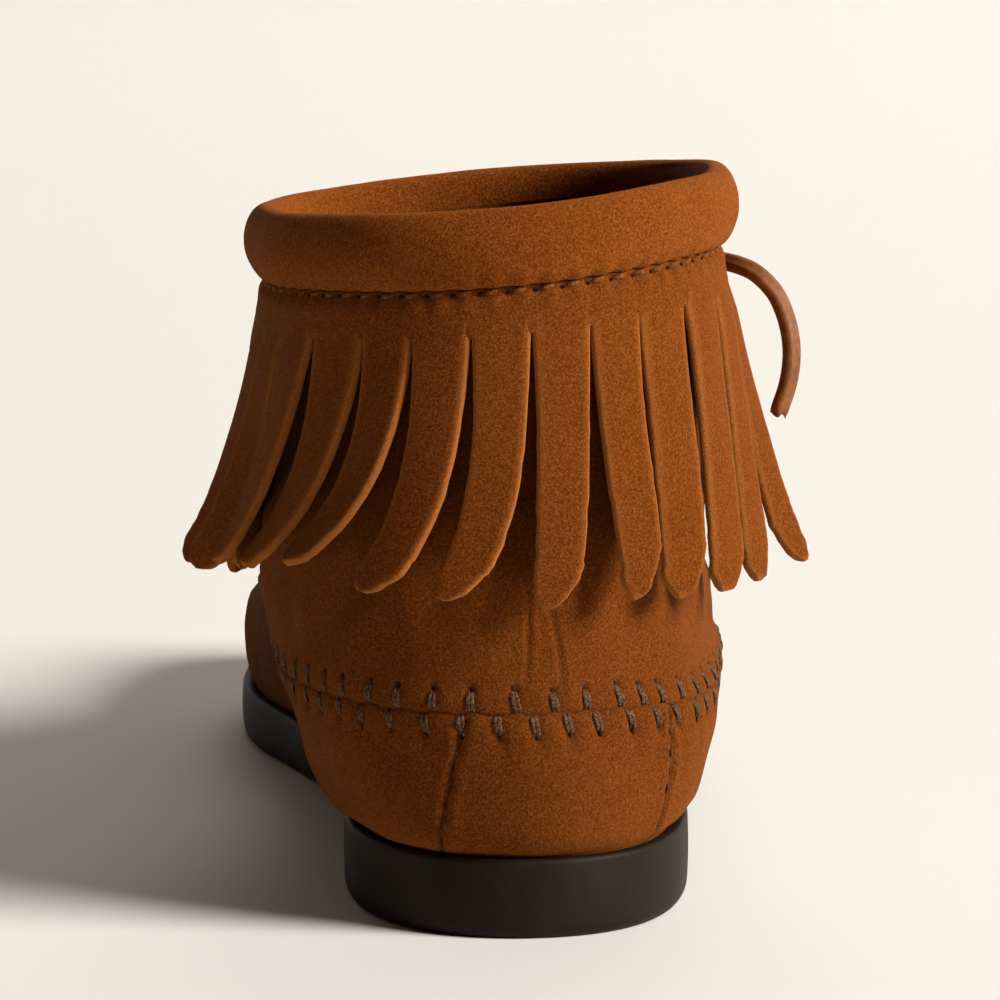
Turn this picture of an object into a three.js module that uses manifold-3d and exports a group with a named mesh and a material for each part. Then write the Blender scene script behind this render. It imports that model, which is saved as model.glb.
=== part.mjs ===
import * as THREE from "three";
import { mergeVertices } from "three/addons/utils/BufferGeometryUtils.js";
import Module from "manifold-3d";

// Fringed moccasin ankle boot for a right foot, in millimetres.
// +Z is up, +Y runs from heel to toe and +X points to the outer side of the foot.
// The origin is on the floor, under the middle of the heel.

// Sole
const soleLength = 244;
const heelReach = 31; // from the origin back to the end of the heel
const heelWidth = 63;
const waistWidth = 61;
const ballWidth = 88;
const toeSwing = 6; // how far the toe turns to the inner side
const soleHeel = 14.3; // height of the sole's rim at the heel
const soleBall = 10.2; // and at the ball
const toeSpring = 7;
const archLift = 2;
const rimWidth = 2.4; // lip of the sole round the foot of the upper
const rimDepth = 2.2; // how deep the upper sits inside that lip
const topRound = 1.3; // rounding of the lip
const treadBevel = 2.6; // rounding of the tread's edge

// Upper
const fit = 0.3; // gap between pieces that touch
const wall = 2.2;
const insoleThickness = 3;
const ankleWidth = 79;
const bootHeight = 129; // top of the roll at the back
const frontDrop = 5; // the collar is lower at the front
const sideRise = 7; // and higher on the outer side than on the inner side
const shaftLean = -3.5; // the shaft's middle lies to the inner side
const seamRise = 1.5; // height of the raised seam at the toe
const seamRiseHeel = 0.3; // and at the heel

// Collar roll and fringe
const rollHeight = 13.4;
const rollSkew = 0.01; // taller on the outer side and shorter on the inner side, as a share
const rollBulge = 2.5; // how far the roll stands out over the fringe strip
const rollSkin = 1.6; // suede folded over the shaft's edge
const rollInside = 10; // how far that suede reaches down inside
const fringeThickness = 1.6;
const fringeLength = 57; // from the roll to the tips
const slitStart = 8.3; // uncut strip between the roll and the slits
const strandWidth = 11; // round the front and the inner side
const strandGap = 0.5; // between two strands at the slits' upper ends
const strandFlare = 8; // how far the tips stand off the shaft

// Thong
const laceWidth = 3.4;
const laceHoleWidth = 4.4;
const laceHoleSpread = 17; // between the two holes at the front
const laceDrop = 3.7; // from the roll down to the holes

const around = 56; // points round every ring
const toeReach = soleLength - heelReach;
const stripOut = fit + fringeThickness; // outer face of the fringe strip over the wall

const wasm = await Module();
wasm.setup();

// Passes a smooth curve through values given at rising stations.
function smoothThrough(stations, values, at) {
  const last = stations.length - 1;
  if (at <= stations[0]) return values[0];
  if (at >= stations[last]) return values[last];
  const slope = (i) => {
    if (i === 0 || i === last) return 0;
    return (values[i + 1] - values[i - 1]) / (stations[i + 1] - stations[i - 1]);
  };
  const i = stations.findIndex((s) => s > at) - 1;
  const span = stations[i + 1] - stations[i];
  const f = (at - stations[i]) / span;
  const a = (1 + 2 * f) * (1 - f) * (1 - f) * values[i];
  const b = f * (1 - f) * (1 - f) * span * slope(i);
  const c = f * f * (3 - 2 * f) * values[i + 1];
  const d = f * f * (f - 1) * span * slope(i + 1);
  return a + b + c + d;
}

// Runs from 0 at the heel (turn 0) to 1 at the toe (turn PI) and back.
const alongAt = (turn) => (1 - Math.cos(turn)) / 2;

// Rounds a ring's two ends: 0 at the ends, near 1 between them, blunter with a larger power.
function endRound(turn, backPower, frontPower) {
  const c = Math.cos(turn);
  return Math.sqrt(Math.max(0, 1 - Math.pow(Math.abs(c), c > 0 ? backPower : frontPower)));
}

// Outline of the sole: at is the share of its length from the heel,
// inner and outer are shares of the named width on each side of the long axis.
const soleStations = [
  { at: 0.0, width: heelWidth, inner: 0.48, outer: 0.48 },
  { at: 0.14, width: heelWidth, inner: 0.5, outer: 0.5 },
  { at: 0.42, width: waistWidth, inner: 0.44, outer: 0.54 },
  { at: 0.57, width: ballWidth, inner: 0.41, outer: 0.46 },
  { at: 0.7, width: ballWidth, inner: 0.51, outer: 0.49 },
  { at: 0.83, width: ballWidth, inner: 0.5, outer: 0.44 },
  { at: 1.0, width: ballWidth, inner: 0.4, outer: 0.36 },
];
const soleHeelPower = 8;
const soleToePower = 5.5;
const stationShares = soleStations.map((s) => s.at);
const innerHalves = soleStations.map((s) => s.inner * s.width);
const outerHalves = soleStations.map((s) => s.outer * s.width);

const swingAt = (share) => -toeSwing * Math.pow(THREE.MathUtils.smoothstep(share, 0.55, 1.15), 1.5);

function solePlan(turn) {
  const share = alongAt(turn);
  const side = Math.sin(turn) >= 0 ? 1 : -1;
  const half = smoothThrough(stationShares, side > 0 ? outerHalves : innerHalves, share);
  const x = side * half * endRound(turn, soleHeelPower, soleToePower) + swingAt(share);
  return new THREE.Vector2(x, share * soleLength - heelReach);
}

// A point of the sole's outline, moved inwards by inset.
function outlineAt(turn, inset) {
  const step = 1e-3;
  const along = solePlan(turn + step).sub(solePlan(turn - step)).normalize();
  return solePlan(turn).add(new THREE.Vector2(-along.y, along.x).multiplyScalar(inset));
}

// Middle line of the sole, which the low rings of the upper follow.
function soleCentre(share) {
  const outer = smoothThrough(stationShares, outerHalves, share);
  const inner = smoothThrough(stationShares, innerHalves, share);
  return (outer - inner) / 2 + swingAt(share);
}

const shareOf = (y) => THREE.MathUtils.clamp((y + heelReach) / soleLength, 0, 1);
const springAt = (share) => toeSpring * Math.pow(Math.max(0, share - 0.74) / 0.26, 2);

function treadZ(share) {
  const arch = THREE.MathUtils.smoothstep(share, 0.24, 0.36) - THREE.MathUtils.smoothstep(share, 0.44, 0.56);
  return archLift * arch + springAt(share);
}

function rimZ(share) {
  const fall = THREE.MathUtils.smoothstep(share, 0.2, 0.62);
  return soleHeel + (soleBall - soleHeel) * fall + springAt(share);
}

const seatZ = (share) => rimZ(share) - rimDepth;

// Height of the upper above the sole's seat at the back.
const upperRise = bootHeight - rollSkin - fit - seatZ(0);
const frontShare = 1 - frontDrop / upperRise;

// Rings of the upper, from its foot to the shaft's edge.
// back and front: ends of the ring as shares of the heel's and the toe's reach.
// backUp, midUp, frontUp: heights over the seat as shares of the upper's height.
// heel, waist: half widths as shares of half the ankle's width; ball, toe: of half the ball's width.
// roundBack, roundFront: bluntness of the ends. foot, lean, tilt: how far the ring follows the sole's
// middle line, the lean of the shaft and the tilt of the collar.
const rings = [
  {
    name: "lowBulge", back: 1.02, front: 1.0, backUp: 0.055, midUp: 0.058, frontUp: 0.055,
    heel: 0.87, waist: 0.865, ball: 0.955, toe: 0.84, roundBack: 6, roundFront: 4.8,
    foot: 1, lean: 0.1, tilt: 0,
  },
  {
    name: "widest", back: 1.08, front: 0.988, backUp: 0.16, midUp: 0.165, frontUp: 0.122,
    heel: 0.985, waist: 0.965, ball: 0.945, toe: 0.81, roundBack: 5.1, roundFront: 5,
    foot: 1, lean: 0.5, tilt: 0,
  },
  {
    name: "shoulder", back: 1.1, front: 0.957, backUp: 0.205, midUp: 0.228, frontUp: 0.168,
    heel: 1.0, waist: 0.98, ball: 0.895, toe: 0.74, roundBack: 4.8, roundFront: 5.2,
    foot: 1, lean: 0.75, tilt: 0,
  },
  {
    name: "seam", back: 1.1, front: 0.9, backUp: 0.245, midUp: 0.282, frontUp: 0.198,
    heel: 1.0, waist: 0.98, ball: 0.8, toe: 0.64, roundBack: 4.6, roundFront: 5,
    foot: 0.9, lean: 0.9, tilt: 0,
  },
  {
    name: "vamp", back: 1.09, front: 0.765, backUp: 0.34, midUp: 0.37, frontUp: 0.325,
    heel: 0.985, waist: 0.95, ball: 0.71, toe: 0.52, roundBack: 4.2, roundFront: 4.6,
    foot: 0.7, lean: 1, tilt: 0,
  },
  {
    name: "instep", back: 1.07, front: 0.61, backUp: 0.47, midUp: 0.485, frontUp: 0.445,
    heel: 0.975, waist: 0.935, ball: 0.7, toe: 0.5, roundBack: 3.4, roundFront: 4,
    foot: 0.4, lean: 1, tilt: 0,
  },
  {
    name: "ankle", back: 1.05, front: 0.484, backUp: 0.63, midUp: 0.632, frontUp: 0.585,
    heel: 0.98, waist: 0.965, ball: 0.8, toe: 0.66, roundBack: 2.8, roundFront: 3.1,
    foot: 0.1, lean: 1, tilt: 0.3,
  },
  {
    name: "shaft", back: 1.02, front: 0.396, backUp: 0.815, midUp: 0.806, frontUp: 0.775,
    heel: 0.98, waist: 0.99, ball: 0.88, toe: 0.84, roundBack: 2.35, roundFront: 2.4,
    foot: 0, lean: 1, tilt: 0.7,
  },
  {
    name: "collar", back: 1.0, front: 0.343, backUp: 1, midUp: (1 + frontShare) / 2, frontUp: frontShare,
    heel: 0.985, waist: 1.005, ball: 0.93, toe: 0.93, roundBack: 2.1, roundFront: 2.1,
    foot: 0, lean: 1, tilt: 1,
  },
];
const lowRings = 2; // the two rings inside the sole's lip, before those of the table
const seamLevel = lowRings + rings.findIndex((r) => r.name === "seam");
const topLevel = lowRings + rings.length - 1;

function ringPoint(ring, turn) {
  const along = alongAt(turn);
  const y = THREE.MathUtils.lerp(-ring.back * heelReach, ring.front * toeReach, along);
  const halves = [ring.heel, ring.heel, ring.waist].map((share) => (share * ankleWidth) / 2);
  halves.push((ring.ball * ballWidth) / 2, (ring.toe * ballWidth) / 2);
  const half = smoothThrough([0, 0.15, 0.42, 0.72, 1], halves, along);
  const side = Math.sin(turn) >= 0 ? 1 : -1;
  const reach = side * half * endRound(turn, ring.roundBack, ring.roundFront);
  const centre = ring.foot * soleCentre(shareOf(y)) + ring.lean * shaftLean;
  const up = smoothThrough([0, 0.42, 1], [ring.backUp, ring.midUp, ring.frontUp], along);
  const tilted = (ring.tilt * sideRise * reach) / ankleWidth;
  return new THREE.Vector3(centre + reach, y, seatZ(shareOf(y)) + up * upperRise + tilted);
}

// The upper's foot stands upright inside the sole's lip.
function footPoint(turn, up) {
  const plan = outlineAt(turn, rimWidth + fit);
  return new THREE.Vector3(plan.x, plan.y, seatZ(shareOf(plan.y)) + fit + up);
}

// One line up the upper for each place round it, from the sole to the shaft's edge.
const lines = new Map();
function lineAt(turn) {
  if (!lines.has(turn)) {
    const points = [footPoint(turn, 0), footPoint(turn, rimDepth)];
    points.push(...rings.map((ring) => ringPoint(ring, turn)));
    lines.set(turn, new THREE.CatmullRomCurve3(points, false, "centripetal"));
  }
  return lines.get(turn);
}

const skinPoint = (turn, level) => lineAt(turn).getPoint(level / topLevel);

function skinNormal(turn, level) {
  const step = 0.01;
  const low = Math.max(level - step, 0);
  const high = Math.min(level + step, topLevel);
  const up = skinPoint(turn, high).sub(skinPoint(turn, low));
  const round = skinPoint(turn + step, level).sub(skinPoint(turn - step, level));
  return round.cross(up).normalize();
}

// The upper's outer face, with the seam raised along its ring.
function outerPoint(turn, level, inwards) {
  const rise = THREE.MathUtils.lerp(seamRiseHeel, seamRise, THREE.MathUtils.smoothstep(alongAt(turn), 0.3, 0.75));
  const bump = Math.max(0, 1 - Math.abs(level - seamLevel) / 0.2);
  const out = inwards > 0 ? -inwards : rise * bump;
  return skinPoint(turn, level).addScaledVector(skinNormal(turn, level), out);
}

// A place a given way below the shaft's edge, measured along the skin, with its outward and upward directions.
function edgeFrame(turn, drop) {
  const step = 0.04;
  let level = topLevel;
  let here = skinPoint(turn, level);
  let left = drop;
  while (left > 0) {
    const next = skinPoint(turn, level - step);
    const gone = here.distanceTo(next);
    if (gone >= left) {
      level -= (step * left) / gone;
      break;
    }
    left -= gone;
    level -= step;
    here = next;
  }
  const up = skinPoint(turn, level).sub(skinPoint(turn, level - step)).normalize();
  return { point: skinPoint(turn, level), out: skinNormal(turn, level), up };
}

// Turns a list of closed rings with equal numbers of points into a closed surface.
// looped joins the last ring to the first; otherwise each end is closed across from side to side.
function ringSurface(ringList, looped) {
  const count = ringList[0].length;
  const positions = ringList.flat().flatMap((p) => [p.x, p.y, p.z]);
  const faces = [];
  const quad = (a, b, c, d) => faces.push(a, b, c, a, c, d);
  const bands = looped ? ringList.length : ringList.length - 1;
  for (let r = 0; r < bands; r++) {
    const low = r * count;
    const high = ((r + 1) % ringList.length) * count;
    for (let i = 0; i < count; i++) {
      const j = (i + 1) % count;
      quad(low + i, low + j, high + j, high + i);
    }
  }
  const closeAcross = (start, facingUp) => {
    for (let i = 0; i < count / 2; i++) {
      const a = start + i;
      const b = start + i + 1;
      const c = start + ((count - i - 1) % count);
      const d = start + ((count - i) % count);
      const corners = facingUp ? [a, b, c, d] : [d, c, b, a];
      if (i === 0) faces.push(...(facingUp ? [a, b, c] : [c, b, a]));
      else if (i === count / 2 - 1) faces.push(...(facingUp ? [a, b, d] : [d, b, a]));
      else quad(...corners);
    }
  };
  if (!looped) {
    closeAcross(0, false);
    closeAcross((ringList.length - 1) * count, true);
  }
  const geometry = new THREE.BufferGeometry();
  geometry.setAttribute("position", new THREE.Float32BufferAttribute(positions, 3));
  geometry.setIndex(faces);
  return geometry;
}

// From the shaft's edge down to the roll's lower lip, and to the slits.
const rollDropAt = (turn) => (rollHeight - rollSkin - fit) * (1 + rollSkew * Math.sin(turn));
const slitDropAt = (turn) => rollDropAt(turn) + fit + slitStart;

const turns = Array.from({ length: around }, (_, i) => (2 * Math.PI * i) / around);

// Cup sole: tread, bevel, side wall, rounded lip and the seat inside it.
function outsole() {
  const level = (inset, zAt) =>
    turns.map((turn) => {
      const p = outlineAt(turn, inset);
      return new THREE.Vector3(p.x, p.y, zAt(shareOf(p.y)));
    });
  return ringSurface(
    [
      level(treadBevel, (s) => treadZ(s)),
      level(treadBevel * 0.3, (s) => treadZ(s) + treadBevel * 0.4),
      level(0, (s) => treadZ(s) + treadBevel * 1.4),
      level(0, (s) => rimZ(s) - topRound * 1.2),
      level(topRound * 0.35, (s) => rimZ(s) - topRound * 0.3),
      level(topRound, (s) => rimZ(s)),
      level(rimWidth, (s) => rimZ(s) - topRound * 0.4),
      level(rimWidth, (s) => seatZ(s)),
    ],
    false,
  );
}

function insole() {
  const level = (up) =>
    turns.map((turn) => {
      const p = outlineAt(turn, rimWidth + fit + wall + fit);
      return new THREE.Vector3(p.x, p.y, seatZ(shareOf(p.y)) + fit + up);
    });
  return ringSurface([level(0), level(insoleThickness)], false);
}

// One hollow shell: up the outer face, over the shaft's edge and down the inner face.
function upper() {
  const levels = [0, 1, 1.5, 2, 2.5, 3, 3.5, 4, 4.4, 4.8, 5, 5.2, 5.6, 6.25, 7, 7.75, 8.5, 9.25, 10];
  const innerLevels = [10, 9.25, 8.5, 7.75, 7, 6.25, 5.5, 5, 4.5, 4, 3.5, 3, 2.5, 2, 1, 0];
  const outer = levels.map((level) => turns.map((turn) => outerPoint(turn, level, 0)));
  const inner = innerLevels.map((level) => turns.map((turn) => outerPoint(turn, level, wall)));
  return ringSurface([...outer, ...inner], true);
}

// Section of the collar roll: out is measured from the shaft's outer face, up from its edge.
// The padded outside is an arc; a slot holds the shaft's edge and thin suede lines it inside.
function rollSection(drop) {
  const inside = -(wall + fit + rollSkin);
  const lip = stripOut + 0.2;
  const bulge = stripOut + rollBulge;
  const middle = (bulge + inside) / 2;
  const halfWidth = (bulge - inside) / 2;
  const middleUp = -drop * 0.47;
  const lipAngle = -Math.acos((lip - middle) / halfWidth);
  const lowHalf = (-drop - middleUp) / Math.sin(lipAngle);
  const highHalf = rollSkin + fit - middleUp;
  const steps = 7;
  const section = [];
  for (let i = 0; i <= steps; i++) {
    const angle = THREE.MathUtils.lerp(lipAngle, Math.PI, i / steps);
    const tall = angle < 0 ? lowHalf : highHalf;
    section.push({ out: middle + halfWidth * Math.cos(angle), up: middleUp + tall * Math.sin(angle) });
  }
  section.push({ out: inside, up: -rollInside });
  section.push({ out: -(wall + fit), up: -rollInside });
  section.push({ out: -(wall + fit), up: -rollInside / 2 });
  section.push({ out: -(wall + fit), up: fit });
  section.push({ out: fit, up: fit });
  section.push({ out: fit, up: -drop / 2 });
  section.push({ out: fit, up: -drop });
  return section;
}

function placeOnEdge(turn, out, up) {
  const frame = edgeFrame(turn, Math.max(0, -up));
  return frame.point.addScaledVector(frame.out, out).addScaledVector(frame.up, Math.max(0, up));
}

function collarRoll() {
  const sections = turns.map((turn) => rollSection(rollDropAt(turn)));
  const ringOf = (k) => turns.map((turn, i) => placeOnEdge(turn, sections[i][k].out, sections[i][k].up));
  return ringSurface(sections[0].map((_, k) => ringOf(k)), true);
}

// A closed geometry as a manifold-3d solid, and back.
function toSolid(geometry) {
  const bare = geometry.clone();
  bare.deleteAttribute("normal");
  bare.deleteAttribute("uv");
  const merged = mergeVertices(bare, 1e-4);
  return new wasm.Manifold(
    new wasm.Mesh({
      numProp: 3,
      vertProperties: merged.attributes.position.array,
      triVerts: new Uint32Array(merged.index.array),
    }),
  );
}

function toGeometry(solid) {
  const mesh = solid.getMesh();
  const geometry = new THREE.BufferGeometry();
  geometry.setAttribute("position", new THREE.BufferAttribute(new Float32Array(mesh.vertProperties), 3));
  geometry.setIndex(new THREE.BufferAttribute(new Uint32Array(mesh.triVerts), 1));
  return geometry;
}

// Distance of the skin from the shaft's axis for a bearing round it (0 at the back, PI / 2 on the
// outer side) and a height, read from slices through the lines.
const axisY = 20;
const slices = new Map();
function sliceAt(z) {
  if (!slices.has(z)) {
    const spots = turns.map((turn) => {
      let low = 1;
      let high = topLevel;
      for (let i = 0; i < 18; i++) {
        const mid = (low + high) / 2;
        if (skinPoint(turn, mid).z < z) low = mid;
        else high = mid;
      }
      const p = skinPoint(turn, low);
      const x = p.x - shaftLean;
      const y = p.y - axisY;
      return { bearing: Math.atan2(x, -y), radius: Math.hypot(x, y) };
    });
    spots.sort((a, b) => a.bearing - b.bearing);
    const first = spots[0];
    const last = spots[spots.length - 1];
    spots.unshift({ bearing: last.bearing - 2 * Math.PI, radius: last.radius });
    spots.push({ bearing: first.bearing + 2 * Math.PI, radius: first.radius });
    slices.set(z, spots);
  }
  return slices.get(z);
}

const sliceStep = 2.5;
function skinRadius(bearing, z) {
  const wrapped = THREE.MathUtils.euclideanModulo(bearing + Math.PI, 2 * Math.PI) - Math.PI;
  const low = Math.floor(z / sliceStep) * sliceStep;
  const [a, b] = [low, low + sliceStep].map((height) => {
    const spots = sliceAt(height);
    const i = spots.findIndex((s) => s.bearing > wrapped) - 1;
    const f = (wrapped - spots[i].bearing) / (spots[i + 1].bearing - spots[i].bearing);
    return THREE.MathUtils.lerp(spots[i].radius, spots[i + 1].radius, f);
  });
  return THREE.MathUtils.lerp(a, b, (z - low) / sliceStep);
}

// The turn whose line leaves the slits' height at a bearing.
function turnOf(bearing) {
  let turn = bearing;
  for (let i = 0; i < 12; i++) {
    const p = edgeFrame(turn, slitDropAt(turn)).point;
    const found = Math.atan2(p.x - shaftLean, -(p.y - axisY));
    turn += THREE.MathUtils.euclideanModulo(bearing - found + Math.PI, 2 * Math.PI) - Math.PI;
  }
  return turn;
}

function slitPlace(bearing, out) {
  const turn = turnOf(bearing);
  return placeOnEdge(turn, out, -slitDropAt(turn));
}

// Strands from the inner side round the back to the outer side. from and to are the bearings of the
// slits beside each, in degrees; lean is the tip's drift along the ring and lift its stand-off, as
// shares of the strand's flare; length is a share of the fringe's length.
const backStrands = [
  { from: -90, to: -74, lean: -0.9, lift: 1.9, length: 1.0 },
  { from: -74, to: -60, lean: -1.3, lift: 1.7, length: 1.015 },
  { from: -60, to: -46, lean: -1.8, lift: 1.4, length: 1.0 },
  { from: -46, to: -30, lean: -2.4, lift: 1.2, length: 1.03 },
  { from: -30, to: -18.5, lean: -2.0, lift: 1.1, length: 1.01 },
  { from: -18.5, to: -7, lean: -1.2, lift: 0.9, length: 1.01 },
  { from: -7, to: 4.2, lean: -0.6, lift: 0.9, length: 0.995 },
  { from: 4.2, to: 15.8, lean: -0.5, lift: 0.8, length: 1.0 },
  { from: 15.8, to: 27.5, lean: 0.35, lift: 1.0, length: 1.03 },
  { from: 27.5, to: 43, lean: -0.2, lift: 0.8, length: 1.035 },
  { from: 43, to: 60, lean: -0.2, lift: 1.1, length: 1.035 },
  { from: 60, to: 76, lean: -0.3, lift: 1.4, length: 1.03 },
  { from: 76, to: 90, lean: 0.3, lift: 2.1, length: 1.05 },
];
// The rest, round the front, take these rows in turn.
const frontStrands = [
  { lean: 0.5, lift: 0.8, length: 0.96 },
  { lean: 0.1, lift: 0.5, length: 0.99 },
  { lean: -0.4, lift: 0.9, length: 0.94 },
  { lean: 0.2, lift: 0.6, length: 0.98 },
  { lean: -0.1, lift: 0.7, length: 0.95 },
];

// A place of the skin for a bearing and a height, with its outward direction.
function skinSpot(bearing, z) {
  const at = (b, height) => {
    const radius = skinRadius(b, height);
    return new THREE.Vector3(shaftLean + radius * Math.sin(b), axisY - radius * Math.cos(b), height);
  };
  const round = at(bearing + 0.04, z).sub(at(bearing - 0.04, z));
  const up = at(bearing, z + 2).sub(at(bearing, z - 2));
  return { point: at(bearing, z), out: round.cross(up).normalize() };
}

// A strand runs down the skin from the slits, drifting along the ring and standing off it more and more.
const strandTaper = [1, 0.95, 0.88, 0.85, 0.84, 0.8, 0.4];
const strandSections = strandTaper.length - 1;
function strand(bearing, width, row) {
  const overlap = 2; // the root is sunk into the strip
  const total = row.length * fringeLength - slitStart + overlap;
  const stops = [];
  let z = slitPlace(bearing, 0).z + overlap;
  let gone = 0;
  let before = null;
  while (gone < total) {
    const share = gone / total;
    const drift = (row.lean * strandFlare * share * share) / skinRadius(bearing, z);
    const spot = skinSpot(bearing + drift, z);
    const off = stripOut - fringeThickness / 2 + row.lift * strandFlare * Math.pow(share, 1.25);
    const point = spot.point.addScaledVector(spot.out, off);
    if (before) gone += point.distanceTo(before);
    before = point;
    stops.push({ point, out: spot.out });
    z -= 1;
  }
  const sections = [];
  for (let i = 0; i <= strandSections; i++) {
    const place = ((stops.length - 1) * i) / strandSections;
    const k = Math.min(Math.round(place), stops.length - 1);
    const at = stops[k].point;
    const along = stops[Math.min(k + 1, stops.length - 1)].point.clone().sub(stops[Math.max(k - 1, 0)].point);
    const flat = stops[k].out.clone().cross(along.normalize()).normalize();
    const out = along.clone().cross(flat).normalize();
    const half = (width / 2) * strandTaper[i];
    const thick = (fringeThickness / 2) * (i === 0 ? 0.6 : 1);
    const corner = (a, b) => at.clone().addScaledVector(flat, a * half).addScaledVector(out, b * thick);
    sections.push([corner(-1, -1), corner(1, -1), corner(1, 1), corner(-1, 1)]);
  }
  return ringSurface(sections, false);
}

// Slits of even width from the last strand of the back table round the front to the first.
function spreadRound(start) {
  const end = backStrands[0].from + 360;
  const fine = 90;
  const bearings = Array.from({ length: fine + 1 }, (_, i) => start + ((end - start) * i) / fine);
  const lengths = [0];
  for (let i = 1; i <= fine; i++) {
    const [a, b] = [bearings[i - 1], bearings[i]].map((degrees) =>
      slitPlace(THREE.MathUtils.degToRad(degrees), stripOut),
    );
    lengths.push(lengths[i - 1] + a.distanceTo(b));
  }
  const count = Math.round(lengths[fine] / strandWidth);
  const bearingAt = (length) => {
    const i = Math.max(1, lengths.findIndex((l) => l >= length - 1e-6));
    const f = (length - lengths[i - 1]) / (lengths[i] - lengths[i - 1]);
    return THREE.MathUtils.lerp(bearings[i - 1], bearings[i], f);
  };
  return Array.from({ length: count }, (_, k) => ({
    from: bearingAt((lengths[fine] * k) / count),
    to: bearingAt((lengths[fine] * (k + 1)) / count),
    ...frontStrands[k % frontStrands.length],
  }));
}

// The thong's two holes sit in the strip on each side of the front's middle.
const holeDrop = rollDropAt(Math.PI) + fit + laceDrop;
const onStrip = (turn, out) => placeOnEdge(turn, out, -holeDrop);
function holeTurn(side) {
  const step = 0.05;
  const speed = onStrip(Math.PI + step, stripOut).distanceTo(onStrip(Math.PI, stripOut));
  return Math.PI - (side * (laceHoleSpread / 2) * step) / speed;
}

function laceHole(side) {
  const frame = edgeFrame(holeTurn(side), holeDrop);
  const depth = 2 * (stripOut + fit);
  const bore = new THREE.CylinderGeometry(laceHoleWidth / 2, laceHoleWidth / 2, depth, 12);
  const turned = new THREE.Quaternion().setFromUnitVectors(new THREE.Vector3(0, 1, 0), frame.out);
  bore.applyQuaternion(turned);
  const middle = frame.point.addScaledVector(frame.out, stripOut / 2);
  return bore.translate(middle.x, middle.y, middle.z);
}

// Fringe: an uncut strip under the roll with its strands fused on, and two holes for the thong.
function fringe() {
  const topRing = (out) => turns.map((turn) => placeOnEdge(turn, out, -(rollDropAt(turn) + fit)));
  const lowRing = (out) => turns.map((turn) => placeOnEdge(turn, out, -slitDropAt(turn)));
  const strip = [topRing(fit), lowRing(fit), lowRing(stripOut), topRing(stripOut)];
  let solid = toSolid(ringSurface(strip, true));
  for (const row of [...backStrands, ...spreadRound(backStrands[backStrands.length - 1].to)]) {
    const from = THREE.MathUtils.degToRad(row.from);
    const to = THREE.MathUtils.degToRad(row.to);
    const width = slitPlace(from, stripOut).distanceTo(slitPlace(to, stripOut)) - strandGap;
    solid = solid.add(toSolid(strand((from + to) / 2, width, row)));
  }
  for (const side of [-1, 1]) {
    solid = solid.subtract(toSolid(laceHole(side)));
  }
  return toGeometry(solid);
}

// The thong's free end, from the knot round the outer side of the front, then arching out and down.
const laceRoute = [
  [3.5, 88, 109.2], [8.2, 87.1, 109.8], [14, 83.6, 109.7], [20, 78.5, 109.3], [26, 72.8, 108.8],
  [31.5, 66.5, 108.2], [36, 60, 107.6], [39.5, 54, 107.3], [42.6, 49.2, 107.2], [45.4, 46.5, 106.3],
  [47.6, 45, 104.6], [49.5, 44.2, 102.3], [50.9, 43.4, 99.2], [51.8, 42.8, 96], [52.2, 42.2, 92.5],
  [52, 41.7, 88.9], [51.3, 41.3, 85.5], [50.3, 41, 82.6], [49.7, 41, 80.7],
].map(([x, y, z]) => new THREE.Vector3(x, y, z));

function laceTube(points, stepLength) {
  const path = new THREE.CatmullRomCurve3(points);
  const section = new THREE.Shape();
  const sides = 8;
  for (let i = 0; i < sides; i++) {
    const angle = (2 * Math.PI * i) / sides;
    const corner = new THREE.Vector2(Math.cos(angle), Math.sin(angle)).multiplyScalar(laceWidth / 2);
    if (i === 0) section.moveTo(corner.x, corner.y);
    else section.lineTo(corner.x, corner.y);
  }
  const steps = Math.max(4, Math.round(path.getLength() / stepLength));
  return new THREE.ExtrudeGeometry(section, { steps, extrudePath: path, bevelEnabled: false });
}

// Knot with the two short runs that come out of the holes and the stub of the other end.
function laceKnot() {
  const out = stripOut + fit + laceWidth * 1.35;
  const middle = onStrip(Math.PI, out);
  const ways = edgeFrame(Math.PI, holeDrop);
  const aside = new THREE.Vector3(1, 0, 0);
  const run = (side) => {
    const at = (share, lift) => onStrip(THREE.MathUtils.lerp(Math.PI, holeTurn(side), share), lift);
    return [
      at(1, 2 * fit),
      at(1, stripOut + laceWidth * 0.45),
      at(0.82, stripOut + fit + laceWidth * 0.72),
      at(0.45, stripOut + fit + laceWidth * 0.95),
      middle,
    ];
  };
  const from = (x, o, u) =>
    middle.clone().addScaledVector(aside, x).addScaledVector(ways.out, o).addScaledVector(ways.up, u);
  const lead = laceRoute[1].clone().sub(laceRoute[0]).normalize();
  const before = (gap) => laceRoute[0].clone().addScaledVector(lead, -gap);
  const spout = [from(-1, 0.4, -0.6), from(1, 0.8, 0), before(2.2), before(fit + 1), before(fit)];
  const stub = [from(1, 0.4, 0.6), from(-2.6, 1, -1), from(-4.6, 0.6, -4), from(-5.4, 0, -7)];
  const loop = new THREE.TorusGeometry(laceWidth * 0.8, laceWidth * 0.45, 8, 14);
  loop.rotateY(Math.PI / 2 - 0.45).translate(middle.x, middle.y, middle.z);
  const pieces = [run(-1), run(1), spout, stub].map((points) => laceTube(points, laceWidth));
  return toGeometry([...pieces, loop].map(toSolid).reduce((a, b) => a.add(b)));
}

const material = (color, roughness) => new THREE.MeshStandardMaterial({ color, roughness, metalness: 0 });
const suede = material(0x8a4a1c, 0.95);
const sole = material(0x2a2019, 0.5);
const thong = material(0x6a3a18, 0.8);

const boot = new THREE.Group();
function addPiece(name, geometry, finish) {
  const mesh = new THREE.Mesh(geometry, finish);
  mesh.name = name;
  boot.add(mesh);
}

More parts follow.
